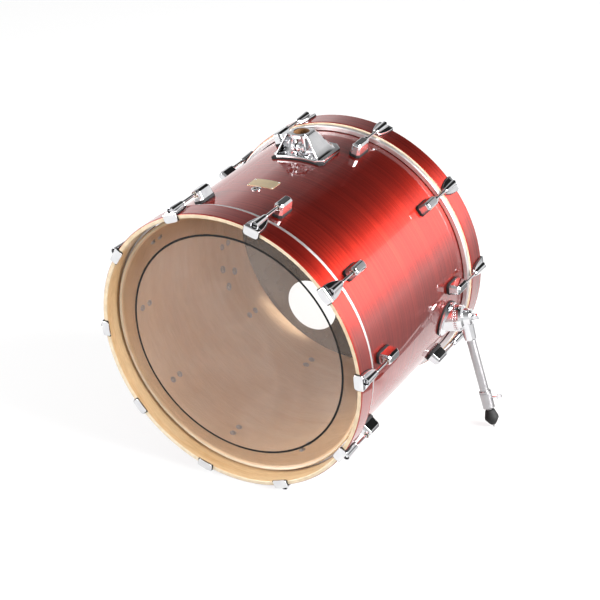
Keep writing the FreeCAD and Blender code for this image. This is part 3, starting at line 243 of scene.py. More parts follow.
def red_finish():
    """Brushed red under a thick gloss coat."""
    paint = Paint("red_finish", Metallic=0.92, Coat_Weight=1.0, Coat_Roughness=0.015, Coat_IOR=2.1,
                  Anisotropic=0.75, Anisotropic_Rotation=0.25)
    paint.wind()
    colour, streak = brushed_red(paint)
    paint.feed("Base Color", colour)
    paint.feed("Roughness", paint.spread(streak, 0.50, 0.43))
    return paint.material


def shell_wood():
    """Maple shell: fine grain round the drum and pale bearing edges."""
    paint = Paint("shell_maple", Coat_Weight=0.25, Coat_Roughness=0.25)
    figure = paint.noise((2.0, 30.0, 2.0), 4.0, 0.55, 0.4)
    pore = paint.noise((40.0, 500.0, 40.0), 2.0, 0.5)
    colour = paint.ramp(figure, *zip((0.32, 0.66), SHELL_TONES))
    edge = paint.math("GREATER_THAN", paint.station(), (SHELL_EDGE - SHELL_EDGE_BAND) * MM)
    colour = paint.mix(edge, colour, SHELL_EDGE_TONE)
    paint.feed("Base Color", paint.shaded(colour, pore, 0.38, SHELL_PORE))
    paint.feed("Roughness", paint.spread(pore, 0.48, 0.34))
    paint.bump(pore, 0.06, 0.05)
    return paint.material


def hoop_wood():
    """Maple hoop: red outside up to its edges, cream end grain on its faces, honey inside."""
    paint = Paint("hoop_maple", Coat_Weight=0.4, Coat_Roughness=0.06)
    figure = paint.noise((4.0, 60.0, 4.0), 5.0, 0.62, 0.8)
    pore = paint.noise((60.0, 700.0, 60.0), 2.0, 0.5)
    inside = paint.ramp(figure, *zip((0.32, 0.62), HOOP_INSIDE_TONES))
    face = paint.ramp(figure, *zip((0.32, 0.62), HOOP_FACE_TONES))
    middle = (FACE_STATION - HOOP_WIDTH / 2) * MM
    off = paint.math("ABSOLUTE", paint.math("SUBTRACT", paint.station(), middle))
    at_face = paint.math("GREATER_THAN", off, (HOOP_WIDTH / 2 - HOOP_FACE_BAND) * MM)
    wood = paint.shaded(paint.mix(at_face, inside, face), pore, 0.38, HOOP_PORE)
    red, streak = brushed_red(paint)
    outside = paint.math("GREATER_THAN", paint.radius(), (HOOP_RADIUS - HOOP_WRAP_BAND) * MM)
    paint.feed("Base Color", paint.mix(outside, wood, red))
    paint.feed("Metallic", paint.math("MULTIPLY", outside, 0.9))
    paint.feed("Roughness", paint.spread(streak, 0.50, 0.40))
    paint.bump(pore, 0.08, 0.06)
    return paint.material


def chrome():
    """Polished chrome with a faint wave in its surface."""
    paint = Paint("chrome", Metallic=1.0)
    cloud = paint.noise((40.0, 40.0, 40.0), 3.0, 0.5)
    paint.feed("Base Color", paint.ramp(cloud, *zip((0.3, 0.7), CHROME_TONES)))
    paint.feed("Roughness", paint.spread(cloud, 0.035, 0.075))
    paint.bump(cloud, 0.05, 0.05)
    return paint.material


def metal(name, colour, rough):
    """Plated or satin metal with a fine grain."""
    paint = Paint(name, Metallic=1.0)
    cloud = paint.noise(METAL_GRAIN, 3.0, 0.6)
    dark = tuple(METAL_DARK * c for c in colour)
    paint.feed("Base Color", paint.ramp(cloud, (0.3, dark), (0.7, colour)))
    paint.feed("Roughness", paint.spread(cloud, rough, rough * METAL_ROUGHEST))
    return paint.material


def rubber(name, colour):
    """Rubber or nylon with a fine matt grain."""
    paint = Paint(name, Specular_IOR_Level=0.28)
    cloud = paint.noise((500.0, 500.0, 500.0), 3.0, 0.6)
    pale = tuple(RUBBER_PALE * c for c in colour)
    paint.feed("Base Color", paint.ramp(cloud, (0.3, colour), (0.75, pale)))
    paint.feed("Roughness", paint.spread(cloud, 0.60, 0.75))
    paint.bump(cloud, 0.2, 0.06)
    return paint.material


def clear_film():
    """Slightly smoky film: hazy inside the black line near its edge, and clearer outside it."""
    paint = Paint("clear_film", Specular_IOR_Level=0.22)
    cloud = paint.noise((6.0, 6.0, 6.0), 3.0, 0.5, 1.0)
    tone = paint.ramp(cloud, *zip((0.35, 0.65), CLEAR_FILM_TONES))
    radius = paint.radius()
    inside = paint.math("LESS_THAN", radius, LINE_INNER * MM)
    line = paint.math("SUBTRACT", paint.math("LESS_THAN", radius, LINE_OUTER * MM), inside)
    haze = paint.spread(cloud, 0.15, 0.18)
    outer = paint.spread(cloud, 0.05, 0.08)
    share = paint.math("MULTIPLY", inside, paint.math("SUBTRACT", haze, outer))
    clear = paint.math("ADD", share, outer)
    paint.feed("Base Color", paint.mix(line, tone, CLEAR_FILM_LINE))
    paint.feed("Alpha", paint.math("MAXIMUM", clear, line))
    paint.feed("Roughness", paint.spread(cloud, 0.10, 0.16))
    return paint.material


def black_film():
    """Satin black film of the resonant head."""
    paint = Paint("black_film")
    cloud = paint.noise((25.0, 25.0, 25.0), 4.0, 0.6)
    paint.feed("Base Color", paint.ramp(cloud, *zip((0.3, 0.7), BLACK_FILM_TONES)))
    paint.feed("Roughness", paint.spread(cloud, 0.18, 0.26))
    paint.bump(cloud, 0.05, 0.1)
    return paint.material


def underlay_film():
    """Film ring, clear but for the black line along its inner edge."""
    paint = Paint("underlay_film")
    cloud = paint.noise((60.0, 60.0, 60.0), 2.0, 0.5)
    line = paint.math("LESS_THAN", paint.radius(), LINE_OUTER * MM)
    paint.feed("Base Color", paint.mix(line, UNDERLAY_TONE, UNDERLAY_LINE))
    clear = paint.spread(cloud, 0.03, 0.05)
    paint.feed("Alpha", paint.math("MAXIMUM", line, clear))
    paint.feed("Roughness", paint.spread(cloud, 0.15, 0.25))
    return paint.material


PAINTS = {
    "red_finish": red_finish(),
    "shell_maple": shell_wood(),
    "hoop_maple": hoop_wood(),
    "chrome": chrome(),
    "black_rubber": rubber("black_rubber", (0.011, 0.011, 0.012)),
    "foot_rubber": rubber("foot_rubber", (0.009, 0.009, 0.009)),
    "aluminium": metal("aluminium", (0.74, 0.72, 0.72), 0.36),
    "nut_brass": metal("nut_brass", (0.72, 0.66, 0.52), 0.20),
    "zinc_steel": metal("zinc_steel", (0.42, 0.43, 0.46), 0.28),
    "badge_metal": metal("badge_metal", (0.84, 0.68, 0.45), 0.38),
    "brown_nylon": rubber("brown_nylon", (0.10, 0.045, 0.015)),
    "clear_film": clear_film(),
    "black_film": black_film(),
    "underlay_film": underlay_film(),
}
LEG_NODES = ("spur_tube", "spur_clamp_right", "spur_clamp_left", "spur_rod")
# The spurs' legs get a rougher chrome, darker in colour than the polished chrome: the darker colour is painted
# shade, standing in for the dim reflections on the legs.
LEG_CHROME_PAINTED_SHADE = metal("leg_chrome_painted_shade", (0.42, 0.41, 0.42), 0.28)


def dress_nodes():
    """Give every CAD node the material of its slot, and the spurs' legs a rougher chrome whose darker colour is
    painted shade.
    """
    for part in frame["record"]["subparts"]:
        slots = NODES[part["node"]].data.materials
        slots.clear()
        leg = part["node"].startswith(LEG_NODES)
        slots.append(LEG_CHROME_PAINTED_SHADE if leg else PAINTS[part["material_slot"]])


# --- Objects and mesh tools -----------------------------------------------------------

def add_object(name, data, place=None):
    """New object of the scene; place is its matrix, in metres."""
    item = bpy.data.objects.new(name, data)
    bpy.context.scene.collection.objects.link(item)
    if place is not None:
        item.matrix_world = place
    return item


def turns(count):
    """Angles of even steps once round a circle."""
    return [2 * math.pi * k / count for k in range(count)]


def mesh_of(name, form):
    """Mesh of a finished bmesh, with its normals outward, scaled from millimetres."""
    bmesh.ops.recalc_face_normals(form, faces=form.faces)
    bmesh.ops.scale(form, vec=(MM, MM, MM), verts=form.verts)
    mesh = bpy.data.meshes.new(name)
    form.to_mesh(mesh)
    form.free()
    return mesh


def rounded(mesh, angle=32.0):
    """Smooth shading that breaks at edges sharper than the angle."""
    mesh.polygons.foreach_set("use_smooth", [True] * len(mesh.polygons))
    mesh.set_sharp_from_angle(angle=math.radians(angle))
    return mesh


def mirrored(mesh, name):
    """Copy of the mesh for the other end of the drum."""
    copy = mesh.copy()
    copy.name = name
    copy.transform(Matrix.Diagonal((1, -1, 1, 1)))
    copy.flip_normals()
    return copy


def worked(mesh, cutters=(), bevel=0.0, segments=2):
    """The mesh with its edges bevelled, and then with the cutters taken out of it."""
    blank = add_object("blank", mesh)
    if bevel:
        step = blank.modifiers.new("bevel", "BEVEL")
        step.width = bevel * MM
        step.segments = segments
        step.limit_method = "ANGLE"
        step.angle_limit = math.radians(30.0)
    tools = []
    for cutter in cutters:
        tools.append(add_object("cutter", cutter))
        step = blank.modifiers.new("cut", "BOOLEAN")
        step.object = tools[-1]
        step.solver = "EXACT"
    bpy.context.view_layer.update()
    finished = blank.evaluated_get(bpy.context.evaluated_depsgraph_get())
    result = bpy.data.meshes.new_from_object(finished)
    result.name = mesh.name
    for item in (blank, *tools):
        bpy.data.objects.remove(item)
    return result


def merged(name, meshes):
    """One mesh of several; they may pass through one another."""
    form = bmesh.new()
    for mesh in meshes:
        form.from_mesh(mesh)
    whole = bpy.data.meshes.new(name)
    form.to_mesh(whole)
    form.free()
    return whole


def part_of(build, bevel=0.0, segments=2):
    """Mesh of what the build function adds to a bmesh, with its edges bevelled."""
    form = bmesh.new()
    build(form)
    mesh = mesh_of("part", form)
    return worked(mesh, bevel=bevel, segments=segments) if bevel else mesh


def loft(form, rings, closed=False):
    """Skin through rings of points: capped at its ends, or joined end to end where closed."""
    rings = [[form.verts.new(point) for point in ring] for ring in rings]
    pairs = list(zip(rings, rings[1:]))
    if closed:
        pairs.append((rings[-1], rings[0]))
    for here, there in pairs:
        for k in range(len(here)):
            after = (k + 1) % len(here)
            form.faces.new((here[k], here[after], there[after], there[k]))
    if not closed:
        form.faces.new(rings[0])
        form.faces.new(rings[-1])


def slab(form, rows):
    """Closed body between an outer and an inner skin; a row is (outer points, inner points)."""
    skins = [[[form.verts.new(p) for p in skin] for skin in row] for row in rows]
    last = len(rows[0][0]) - 1
    for here, there in zip(skins, skins[1:]):
        for k in range(last):
            for side in (0, 1):
                form.faces.new(
                    (here[side][k], here[side][k + 1], there[side][k + 1], there[side][k]))
        for k in (0, last):
            form.faces.new((here[0][k], here[1][k], there[1][k], there[0][k]))
    for row in (skins[0], skins[-1]):
        for k in range(last):
            form.faces.new((row[0][k], row[0][k + 1], row[1][k + 1], row[1][k]))


def about_z(turn, profile):
    """Points of a (radius, height) profile, turned about the Z direction."""
    return [(radius * math.cos(turn), radius * math.sin(turn), z) for radius, z in profile]


def add_tube(form, profile, height, segments):
    """Turns a closed (distance along, radius) profile about Y, at a height above the axis."""
    rings = []
    for turn in turns(segments):
        side = Vector((math.cos(turn), 0, math.sin(turn)))
        rings.append([Vector((0, along, height)) + side * radius for along, radius in profile])
    loft(form, rings, closed=True)


def bead(along, radius, size, count):
    """Round profile of a tube: a circle of that size, as count points."""
    return [(along + size * math.cos(a), radius + size * math.sin(a)) for a in turns(count)]


def rod_mesh(start, end, radius):
    """Cylinder along the axis of a claw's boss and of its tension rod."""
    form = bmesh.new()
    bmesh.ops.create_cone(
        form, cap_ends=True, segments=40, radius1=radius, radius2=radius, depth=end - start)
    lie = Matrix.Rotation(math.radians(90.0), 4, "X")
    middle = Matrix.Translation((0, (start + end) / 2, BOSS_AXIS))
    bmesh.ops.transform(form, matrix=middle @ lie, verts=form.verts)
    return mesh_of("rod", form)


def fit(mesh, name, body, slot, place, *nodes):
    """One piece with its finish, on its body, in place of the CAD nodes."""
    mesh.materials.clear()
    mesh.materials.append(PAINTS[slot])
    piece = add_object(name, mesh, place)
    normals = piece.modifiers.new("normals", "WEIGHTED_NORMAL")
    normals.keep_sharp = True
    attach(piece, body)
    if nodes:
        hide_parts(*nodes)


def fit_round(mesh, name, side, slot, node):
    """The mesh at every lug of one end of the drum; side is -1 at the batter end, 1 behind."""
    for number in range(LUG_COUNT):
        turn = math.radians(FIRST_LUG_ANGLE + 360.0 / LUG_COUNT * number)
        place = ON_AXIS @ Matrix.Rotation(turn, 4, "Y")
        place = place @ Matrix.Translation((0, side * FACE_STATION * MM, 0))
        fit(mesh, f"{name}_{number + 1:02d}", "drum", slot, place, node)


def fit_both_ends(mesh, name, slot, batter_node, resonant_node):
    """The mesh at every lug of the batter end, and its mirror image at the other end."""
    fit_round(mesh, "batter_" + name, -1, slot, batter_node)
    name = "resonant_" + name
    fit_round(mirrored(mesh, name), name, 1, slot, resonant_node)


# --- Claws ----------------------------------------------------------------------------

# Along Y from the hoop's front face; heights are distances from the drum's axis. Widths
# are half widths.
CLAW_WIDTH = 16.5
CLAW_NOSE = 6.2
CLAW_LENGTH = 46.0
CLAW_STRAIGHT = 6.0
LEAF_FULLNESS = 0.85
LIP_FRONT = -3.3
LIP_BACK = -1.5
LIP_END = 281.5
LIP_BEND = 1.8
LIP_INNER_BEND = 0.2
LIP_TAPER = 5.0
LIP_NARROWING = 3.5
LIP_HEIGHTS = (LIP_END, 282.0, 283.0, 285.0, 288.0, 292.0, 295.0)
PLATE_TOP = 299.2
PLATE_UNDER = 296.5
PLATE_CROWN = 0.9
PLATE_UNDER_SHARE = 0.995
PLATE_PLACES = (
    1.0, 4.0, 5.9, 6.0, 9.0, 13.0, 18.0, 23.0, 28.0, 33.0, 37.5, 41.0, 43.5, 45.0, 45.7, 46.0)
EDGE_ROUND = 1.2
BOSS_AXIS = 301.5
BOSS_START = 6.0
BOSS_RADIUS = 7.8
BOSS_TAPER = 2.2
BOSS_FALLOFF = 3.4
NOSE_LENGTH = 3.0
NOSE_CLOSING = 0.55
COLUMN_COUNT = 18
# A bore is (start, end, radius), and a bead (place, radius, thickness radius, points).
CLAW_BORES = ((5.4, 16.0, 6.2), (15.0, 48.0, 3.3))
MOUTH_BEAD = (BOSS_START, 7.1, 0.9, 10)
NOSE_BEAD = (CLAW_LENGTH, 4.1, 0.6, 8)
# The liner's lip is given by (front height, back height, half width).
LINER_FLOOR = 295.0
LINER_PROUD = 0.9
LINER_WIDTH = CLAW_WIDTH + LINER_PROUD
LINER_LIP = ((282.2, 282.2, 16.4), (284.0, 284.0, 18.2), (295.0, 294.0, LINER_WIDTH),
             (PLATE_UNDER, LINER_FLOOR, LINER_WIDTH))
LINER_PLACES = (2.0, 6.0, 12.0, 18.0, 23.0, 28.0, 33.0, 37.5, 41.0, 44.5)


def claw_width(along):
    """Half width of the leaf-shaped plate."""
    share = min(max((along - CLAW_STRAIGHT) / (CLAW_LENGTH - CLAW_STRAIGHT), 0.0), 1.0)
    fullness = math.cos(share * math.pi / 2) ** LEAF_FULLNESS
    return CLAW_NOSE + (CLAW_WIDTH - CLAW_NOSE) * fullness


def boss_radius(along):
    """Radius of the boss, which closes to a rounded nose."""
    radius = BOSS_RADIUS - BOSS_TAPER * (along - BOSS_START) / (CLAW_LENGTH - BOSS_START)
    past = max(along - (CLAW_LENGTH - NOSE_LENGTH), 0.0)
    return radius - (NOSE_LENGTH - math.sqrt(NOSE_LENGTH ** 2 - past * past)) * NOSE_CLOSING


def columns(width, radius):
    """Places across a row: fine over the boss and at the edges."""
    over = [radius * math.sin(math.pi / 2 * k / 7) for k in range(8)]
    beyond = [radius + (width - radius) * share for share in (0.03, 0.08, 0.16, 0.3, 0.5, 0.7)]
    edge = [width - EDGE_ROUND * share for share in (1.0, 0.6, 0.25, 0.0)]
    half = sorted(set(over + [x for x in beyond if x < edge[0] - 0.1] + edge))
    while len(half) < COLUMN_COUNT:
        half.append(width)
    return half


def claw_stations():
    """(outer place, outward direction, inner place, half width, boss radius) along the claw."""
    stations = []
    for height in LIP_HEIGHTS:
        share = max(1 - (height - LIP_END) / LIP_TAPER, 0.0)
        width = CLAW_WIDTH - LIP_NARROWING * share * share
        stations.append(((LIP_FRONT, height), (-1.0, 0.0), (LIP_BACK, height), width, 0.0))
    centre = (LIP_FRONT + LIP_BEND, PLATE_TOP - LIP_BEND)
    for degrees in (0, 22, 45, 68, 90):
        c, s = math.cos(math.radians(degrees)), math.sin(math.radians(degrees))
        outer = (centre[0] - LIP_BEND * c, centre[1] + LIP_BEND * s)
        inner = (centre[0] - LIP_INNER_BEND * c, centre[1] + LIP_INNER_BEND * s)
        stations.append((outer, (-c, s), inner, CLAW_WIDTH, 0.0))
    for along in PLATE_PLACES:
        boss = boss_radius(along) if along >= BOSS_START else 0.0
        stations.append(
            ((along, PLATE_TOP), (0.0, 1.0), (along, PLATE_UNDER), claw_width(along), boss))
    return stations


def claw_height(x, width, boss):
    """How far the outer skin stands off the plate's top."""
    if boss and abs(x) <= boss + 1e-6:
        return BOSS_AXIS - PLATE_TOP + math.sqrt(max(boss * boss - x * x, 0.0))
    gap = width - abs(x)
    height = PLATE_CROWN * (1 - (x / width) ** 2)
    if gap < EDGE_ROUND:
        height -= EDGE_ROUND - math.sqrt(EDGE_ROUND ** 2 - (EDGE_ROUND - gap) ** 2)
    if boss:
        height += (BOSS_AXIS - PLATE_TOP - height) * math.exp((boss - abs(x)) / BOSS_FALLOFF)
    return height


def claw_rows():
    """Rows of the claw's outer and inner skins, from the lip's end to the nose."""
    rows = []
    for outer, out, inner, width, boss in claw_stations():
        half = columns(width, boss or BOSS_RADIUS)
        across = [-x for x in reversed(half[1:])] + half
        top, under = [], []
        for x in across:
            rise = claw_height(x, width, boss)
            top.append((x, outer[0] + out[0] * rise, outer[1] + out[1] * rise))
            under.append((x * PLATE_UNDER_SHARE, *inner))
        rows.append((top, under))
    return rows


def claw_mesh():
    """Claw with its boss bored through, and a bead round each end of the bore."""
    plate = part_of(lambda form: slab(form, claw_rows()))
    plate = worked(plate, [rod_mesh(*bore) for bore in CLAW_BORES])
    form = bmesh.new()
    add_tube(form, bead(*MOUTH_BEAD), BOSS_AXIS, 36)
    add_tube(form, bead(*NOSE_BEAD), BOSS_AXIS, 28)
    return rounded(merged("batter_claw", [plate, mesh_of("beads", form)]))


def liner_mesh():
    """Rubber liner between the claw and the hoop, a little wider than the claw."""
    stations = [((LIP_BACK, front), (0.0, back), width) for front, back, width in LINER_LIP]
    for along in LINER_PLACES:
        width = claw_width(along) + LINER_PROUD
        stations.append(((along, PLATE_UNDER), (along, LINER_FLOOR), width))
    rows = []
    for outer, inner, width in stations:
        across = [width * k / 6 for k in range(-6, 7)]
        rows.append(([(x, *outer) for x in across], [(x, *inner) for x in across]))
    return rounded(part_of(lambda form: slab(form, rows), 0.35))


# --- Lugs -----------------------------------------------------------------------------

# A level is (height, half width, half length, corner cut).
LUG_MIDDLE = 110.0
LUG_FOOT = 283.4
LUG_TOP = 308.0
LUG_LEVELS = ((LUG_FOOT, 11.0, 22.5, 5.0), (LUG_FOOT + 3.0, 11.0, 22.5, 5.0),
              (303.6, 9.6, 20.9, 4.2), (LUG_TOP, 5.9, 16.6, 2.4))
LUG_BORE = (80.0, 118.0, 5.6)
LUG_COLLAR = ((86.9, 5.1), (86.5, 5.5), (86.5, 6.1), (86.9, 6.5), (100.0, 6.5), (100.0, 5.1))
GASKET_LEVELS = ((279.9, 12.2, 23.7, 5.4), (286.2, 12.0, 23.5, 5.3))


def cut_outline(half_x, half_y, cut):
    """Rectangle with its corners cut off, as points round it."""
    points = []
    for sx, sy in ((1, 1), (-1, 1), (-1, -1), (1, -1)):
        pair = [(sx * half_x, sy * (half_y - cut)), (sx * (half_x - cut), sy * half_y)]
        points += pair if sx * sy > 0 else pair[::-1]
    return points


def lug_block(levels, bevel):
    """Bevelled block with cut corners, in the lug's place."""
    rings = [[(x, LUG_MIDDLE + y, height) for x, y in cut_outline(*outline)]
             for height, *outline in levels]
    return part_of(lambda form: loft(form, rings), bevel, 3)


def lug_mesh():
    """Faceted lug, bored for its nut, with a collar round the bore's mouth."""
    block = worked(lug_block(LUG_LEVELS, 0.9), [rod_mesh(*LUG_BORE)])
    collar = part_of(lambda form: add_tube(form, LUG_COLLAR, BOSS_AXIS, 36))
    return rounded(merged("batter_lug", [block, collar]), 25.0)


def make_hardware():
    """Claws, their liners, lugs and lug gaskets, at both ends of the drum."""
    gasket = rounded(lug_block(GASKET_LEVELS, 0.8))
    fit_both_ends(claw_mesh(), "claw", "chrome", "batter_claws", "resonant_claws")
    fit_both_ends(liner_mesh(), "claw_liner", "black_rubber", "claw_liners", "claw_liners")
    fit_both_ends(lug_mesh(), "lug", "chrome", "batter_lugs", "resonant_lugs")
    fit_both_ends(gasket, "lug_gasket", "black_rubber", "lug_gaskets", "lug_gaskets")


# --- Tom bracket ----------------------------------------------------------------------

# X across the drum and Y along it from the post's axis; heights are distances from the
# drum's axis. The seat is the radius under the foot plate, the floor the one over it. A
# hood's level is (share of its height, flare), its top (half width, front, rear, corner
# cut), and the column's profile (radius, height).
TOM_STATION = 82.0
TOM_SEAT = 283.4
TOM_FLOOR = 288.4
TOM_TOP = 329.4
BUSH_OUTER = 16.5
FLANGE_HALF = 58.5
FLANGE_STRAIGHT = 45.0
FLANGE_FRONT = -33.4
FLANGE_REAR = 58.6
FLANGE_SHARES = (0.0, 0.02, 0.25, 0.5, 0.75, 0.98, 1.0)
FLANGE_DROPS = (1.0, 0.0, 0.0, 0.0, 0.0, 0.0, 1.0)
HOOD_FOOT_HALF = 50.0
HOOD_FOOT_FRONT = -29.0
HOOD_FOOT_CUT = 14.0
HOOD_TOP = (24.0, -20.5, 21.0, 9.0)
HOOD_WALL = 4.0
HOOD_SUNK = 0.8
HOOD_LEVELS = (
    (0.0, 2.6), (0.05, 1.0), (0.11, 0.2), (0.3, 0.0), (0.6, 0.0), (0.9, 0.0), (0.985, 0.0))
CROWN_STEPS = 64
CROWN_HALF_X = 24.0
CROWN_HALF_Y = 21.5
CROWN_CUT = 9.0
CROWN_DEPTH = 8.0
CROWN_CHAMFER = ((0.0, 2.2), (1.8, 0.3), (3.0, 0.0))
BORE_CHAMFER = 0.8
COLUMN_OUTER = 19.4
COLUMN_STEPS = 48
COLUMN_PROFILE = (
    (31.0, 286.0), (27.5, 288.6), (24.0, 290.5), (21.2, 293.5), (19.7, 298.0),
    (COLUMN_OUTER, 303.0), (COLUMN_OUTER, TOM_TOP - 7.5))
SLIT_HALF = 1.5
BOLT_Y = -22.7
BOLT_HEIGHT = 302.4
EAR_REACH = 5.6
EAR_HALF = 9.6
EAR_ROOT = -17.0
EAR_SIDES = (1.6, 9.5)
WEB_SHARES = (0.02, 0.12, 0.25, 0.4, 0.55, 0.7, 0.85, 0.96)
WEB_STEPS = 10
WEB_THICK = 2.0
WEB_ROOT = (17.5, -7.0)
WEB_RIM_INSET = 3.0
WEB_RIM_BACK = 4.5
WEB_RISE_BACK = 8.5
WEB_HOLLOW_SHARE = 0.62
WEB_HOLLOW_OUT = 5.0
WEB_HOLLOW_Y = 2.0
WEB_FOOT_SUNK = 0.5
WEB_TOP_SUNK = 4.0


def on_shell(radius, x):
    """Height above the drum's axis of a cylinder of that radius, at x."""
    return math.sqrt(radius * radius - x * x)


def bracket_flange(form):
    """Curved foot plate with cut corners and eased front and rear edges."""
    rows = []
    for k in range(-8, 9):
        x = FLANGE_HALF * k / 8
        cut = max(abs(x) - FLANGE_STRAIGHT, 0.0)
        front, rear = FLANGE_FRONT + cut, FLANGE_REAR - cut
        across = [front + (rear - front) * share for share in FLANGE_SHARES]
        top = [(x, y, on_shell(TOM_FLOOR, x) - drop) for y, drop in zip(across, FLANGE_DROPS)]
        under = [(x, y, on_shell(TOM_SEAT, x)) for y in across]
        rows.append((top, under))
    slab(form, rows)


def hood_outline(half, front, rear, cut, inset):
    """Left front corner round the back to the right front corner, moved in by the inset."""
    half, rear = half - inset, rear - inset
    side = [(half, front), (half, (front + rear) / 2), (half, rear - cut), (half - cut, rear)]
    return [(-x, y) for x, y in side] + [(0.0, rear)] + side[::-1]


def bracket_hood(form):
    """Flared walls on three sides, open at the front, with a lip round the foot."""
    rows = []
    for share, flare in HOOD_LEVELS:
        skins = []
        for inset in (0.0, HOOD_WALL):
            reach = HOOD_FOOT_HALF + flare
            foot = hood_outline(reach, HOOD_FOOT_FRONT, reach, HOOD_FOOT_CUT, inset)
            skin = []
            for (x0, y0), (x1, y1) in zip(foot, hood_outline(*HOOD_TOP, inset)):
                low = on_shell(TOM_FLOOR, x0) - HOOD_SUNK
                skin.append((x0 + (x1 - x0) * share, y0 + (y1 - y0) * share,
                             low + (TOM_TOP - low) * share))
            skins.append(skin)
        rows.append(tuple(skins))
    slab(form, rows)


def octagon_reach(turn, half, cut):
    """Distance from the middle of a cut-cornered square to its edge."""
    c, s = abs(math.cos(turn)), abs(math.sin(turn))
    flat = half / max(c, s)
    corner = (2 * half - cut) / (c + s)
    return min(flat, corner)


def bracket_crown(form):
    """Octagonal top round the bush, chamfered at its upper edge."""
    rings = []
    for turn in turns(CROWN_STEPS):
        across = abs(math.cos(turn)) > abs(math.sin(turn))
        wide = octagon_reach(turn, CROWN_HALF_X if across else CROWN_HALF_Y, CROWN_CUT)
        rings.append(about_z(turn, (
            (wide, TOM_TOP - CROWN_DEPTH), *[(wide - x, TOM_TOP - z) for x, z in CROWN_CHAMFER],
            (BUSH_OUTER + BORE_CHAMFER, TOM_TOP), (BUSH_OUTER, TOM_TOP - BORE_CHAMFER),
            (BUSH_OUTER, TOM_TOP - CROWN_DEPTH))))
    loft(form, rings, closed=True)


def bracket_column(form):
    """Split column round the bush, with a curved foot; the slit faces the front."""
    slit = math.asin(SLIT_HALF / COLUMN_OUTER)
    bore = [(BUSH_OUTER, height) for _, height in COLUMN_PROFILE]
    rows = []
    for step in range(COLUMN_STEPS + 1):
        turn = -math.pi / 2 + slit + (2 * math.pi - 2 * slit) * step / COLUMN_STEPS
        rows.append((about_z(turn, COLUMN_PROFILE), about_z(turn, bore)))
    slab(form, rows)


def bracket_ear(form, side):
    """Rounded ear of the pinch bolt on one side of the slit."""
    outline = [(EAR_ROOT, BOLT_HEIGHT + EAR_HALF)]
    for k in range(13):
        turn = math.radians(90.0 + 180.0 * k / 12)
        outline.append(
            (BOLT_Y + EAR_REACH * math.cos(turn), BOLT_HEIGHT + EAR_HALF * math.sin(turn)))
    outline.append((EAR_ROOT, BOLT_HEIGHT - EAR_HALF))
    loft(form, [[(side * x, y, z) for y, z in outline] for x in EAR_SIDES])


def bracket_web(form, side):
    """Concave front of the casting, from a side wall's front rim to the column."""
    rows = []
    for share in WEB_SHARES:
        wide = HOOD_FOOT_HALF + (HOOD_TOP[0] - HOOD_FOOT_HALF) * share - WEB_RIM_INSET
        rim = Vector((side * wide, HOOD_FOOT_FRONT + WEB_RISE_BACK * share + WEB_RIM_BACK))
        root = Vector((side * WEB_ROOT[0], WEB_ROOT[1]))
        hollow = Vector((side * (wide * WEB_HOLLOW_SHARE + WEB_HOLLOW_OUT), WEB_HOLLOW_Y))
        front, rear = [], []
        for k in range(WEB_STEPS + 1):
            t = k / WEB_STEPS
            spot = rim * (1 - t) ** 2 + hollow * 2 * t * (1 - t) + root * t * t
            low = on_shell(TOM_FLOOR, min(abs(spot.x), HOOD_FOOT_HALF)) - WEB_FOOT_SUNK
            height = low + (TOM_TOP - WEB_TOP_SUNK - low) * share
            front.append((spot.x, spot.y, height))
            rear.append((spot.x, spot.y + WEB_THICK, height))
        rows.append((front, rear))
    slab(form, rows)


def make_tom_bracket():
    """The bracket's casting in one piece; its parts pass into one another."""
    parts = [part_of(bracket_flange, 0.7), part_of(bracket_hood, 1.1, 3),
             part_of(bracket_crown), part_of(bracket_column)]
    parts += [part_of(lambda form: bracket_ear(form, side), 1.2) for side in (1, -1)]
    parts += [part_of(lambda form: bracket_web(form, side)) for side in (1, -1)]
    casting = rounded(merged("tom_bracket_casting", parts), 28.0)
    place = ON_AXIS @ Matrix.Translation((0, TOM_STATION * MM, 0))
    fit(casting, "tom_bracket_casting", "drum", "chrome", place, "tom_bracket")


# --- Spurs, flesh rings and badge -----------------------------------------------------

TOOTH_STEPS = 144
TOOTH_TIP = 28.5
TOOTH_ROOT = 27.2
TOOTH_INNER = 25.5
TOOTH_CHAMFER = (0.3, 0.4)
FIXED_TEETH = (-3.6, -0.1)
TURNING_TEETH = (0.4, 3.9)
FLESH_INNER = 281.4
FLESH_OUTER = 291.4
FLESH_NEAR = -215.2
FLESH_FAR = -204.6
FLESH_BEND = 2.0
FLESH_RIM = 0.4
PIN_INSET = 3.0
PIN_SUNK = 0.1
# (radius, height) from the pin's foot to its crown.
PIN_PROFILE = ((1.7, -0.4), (1.7, 0.25), (1.3, 0.6), (0.6, 0.8))


def toothed_ring(low, high):
    """Ring of small teeth round the Z direction, between two distances along it."""
    rings = []
    inward, along = TOOTH_CHAMFER
    for step, turn in enumerate(turns(TOOTH_STEPS)):
        wide = TOOTH_TIP if step % 4 < 2 else TOOTH_ROOT
        rings.append(about_z(turn, (
            (TOOTH_INNER, low), (wide - inward, low), (wide, low + along), (wide, high - along),
            (wide - inward, high), (TOOTH_INNER, high))))
    return rounded(part_of(lambda form: loft(form, rings, closed=True)), 30.0)


def make_spur_rings():
    """The two toothed rings that lock each spur's angle."""
    for joint in frame["joints"]:
        if not joint["name"].endswith("_fold"):
            continue
        body = joint["child"]
        pivot, out = Vector(joint["pos_m"]), Vector(joint["axis"]).normalized()
        if out.x * pivot.x < 0:
            out.negate()
        place = Matrix.Translation(pivot) @ out.to_track_quat("Z", "Y").to_matrix().to_4x4()
        fit(toothed_ring(*FIXED_TEETH), f"{body}_fixed_teeth", "drum", "chrome", place)
        fit(toothed_ring(*TURNING_TEETH), f"{body}_turning_teeth", body, "chrome", place)


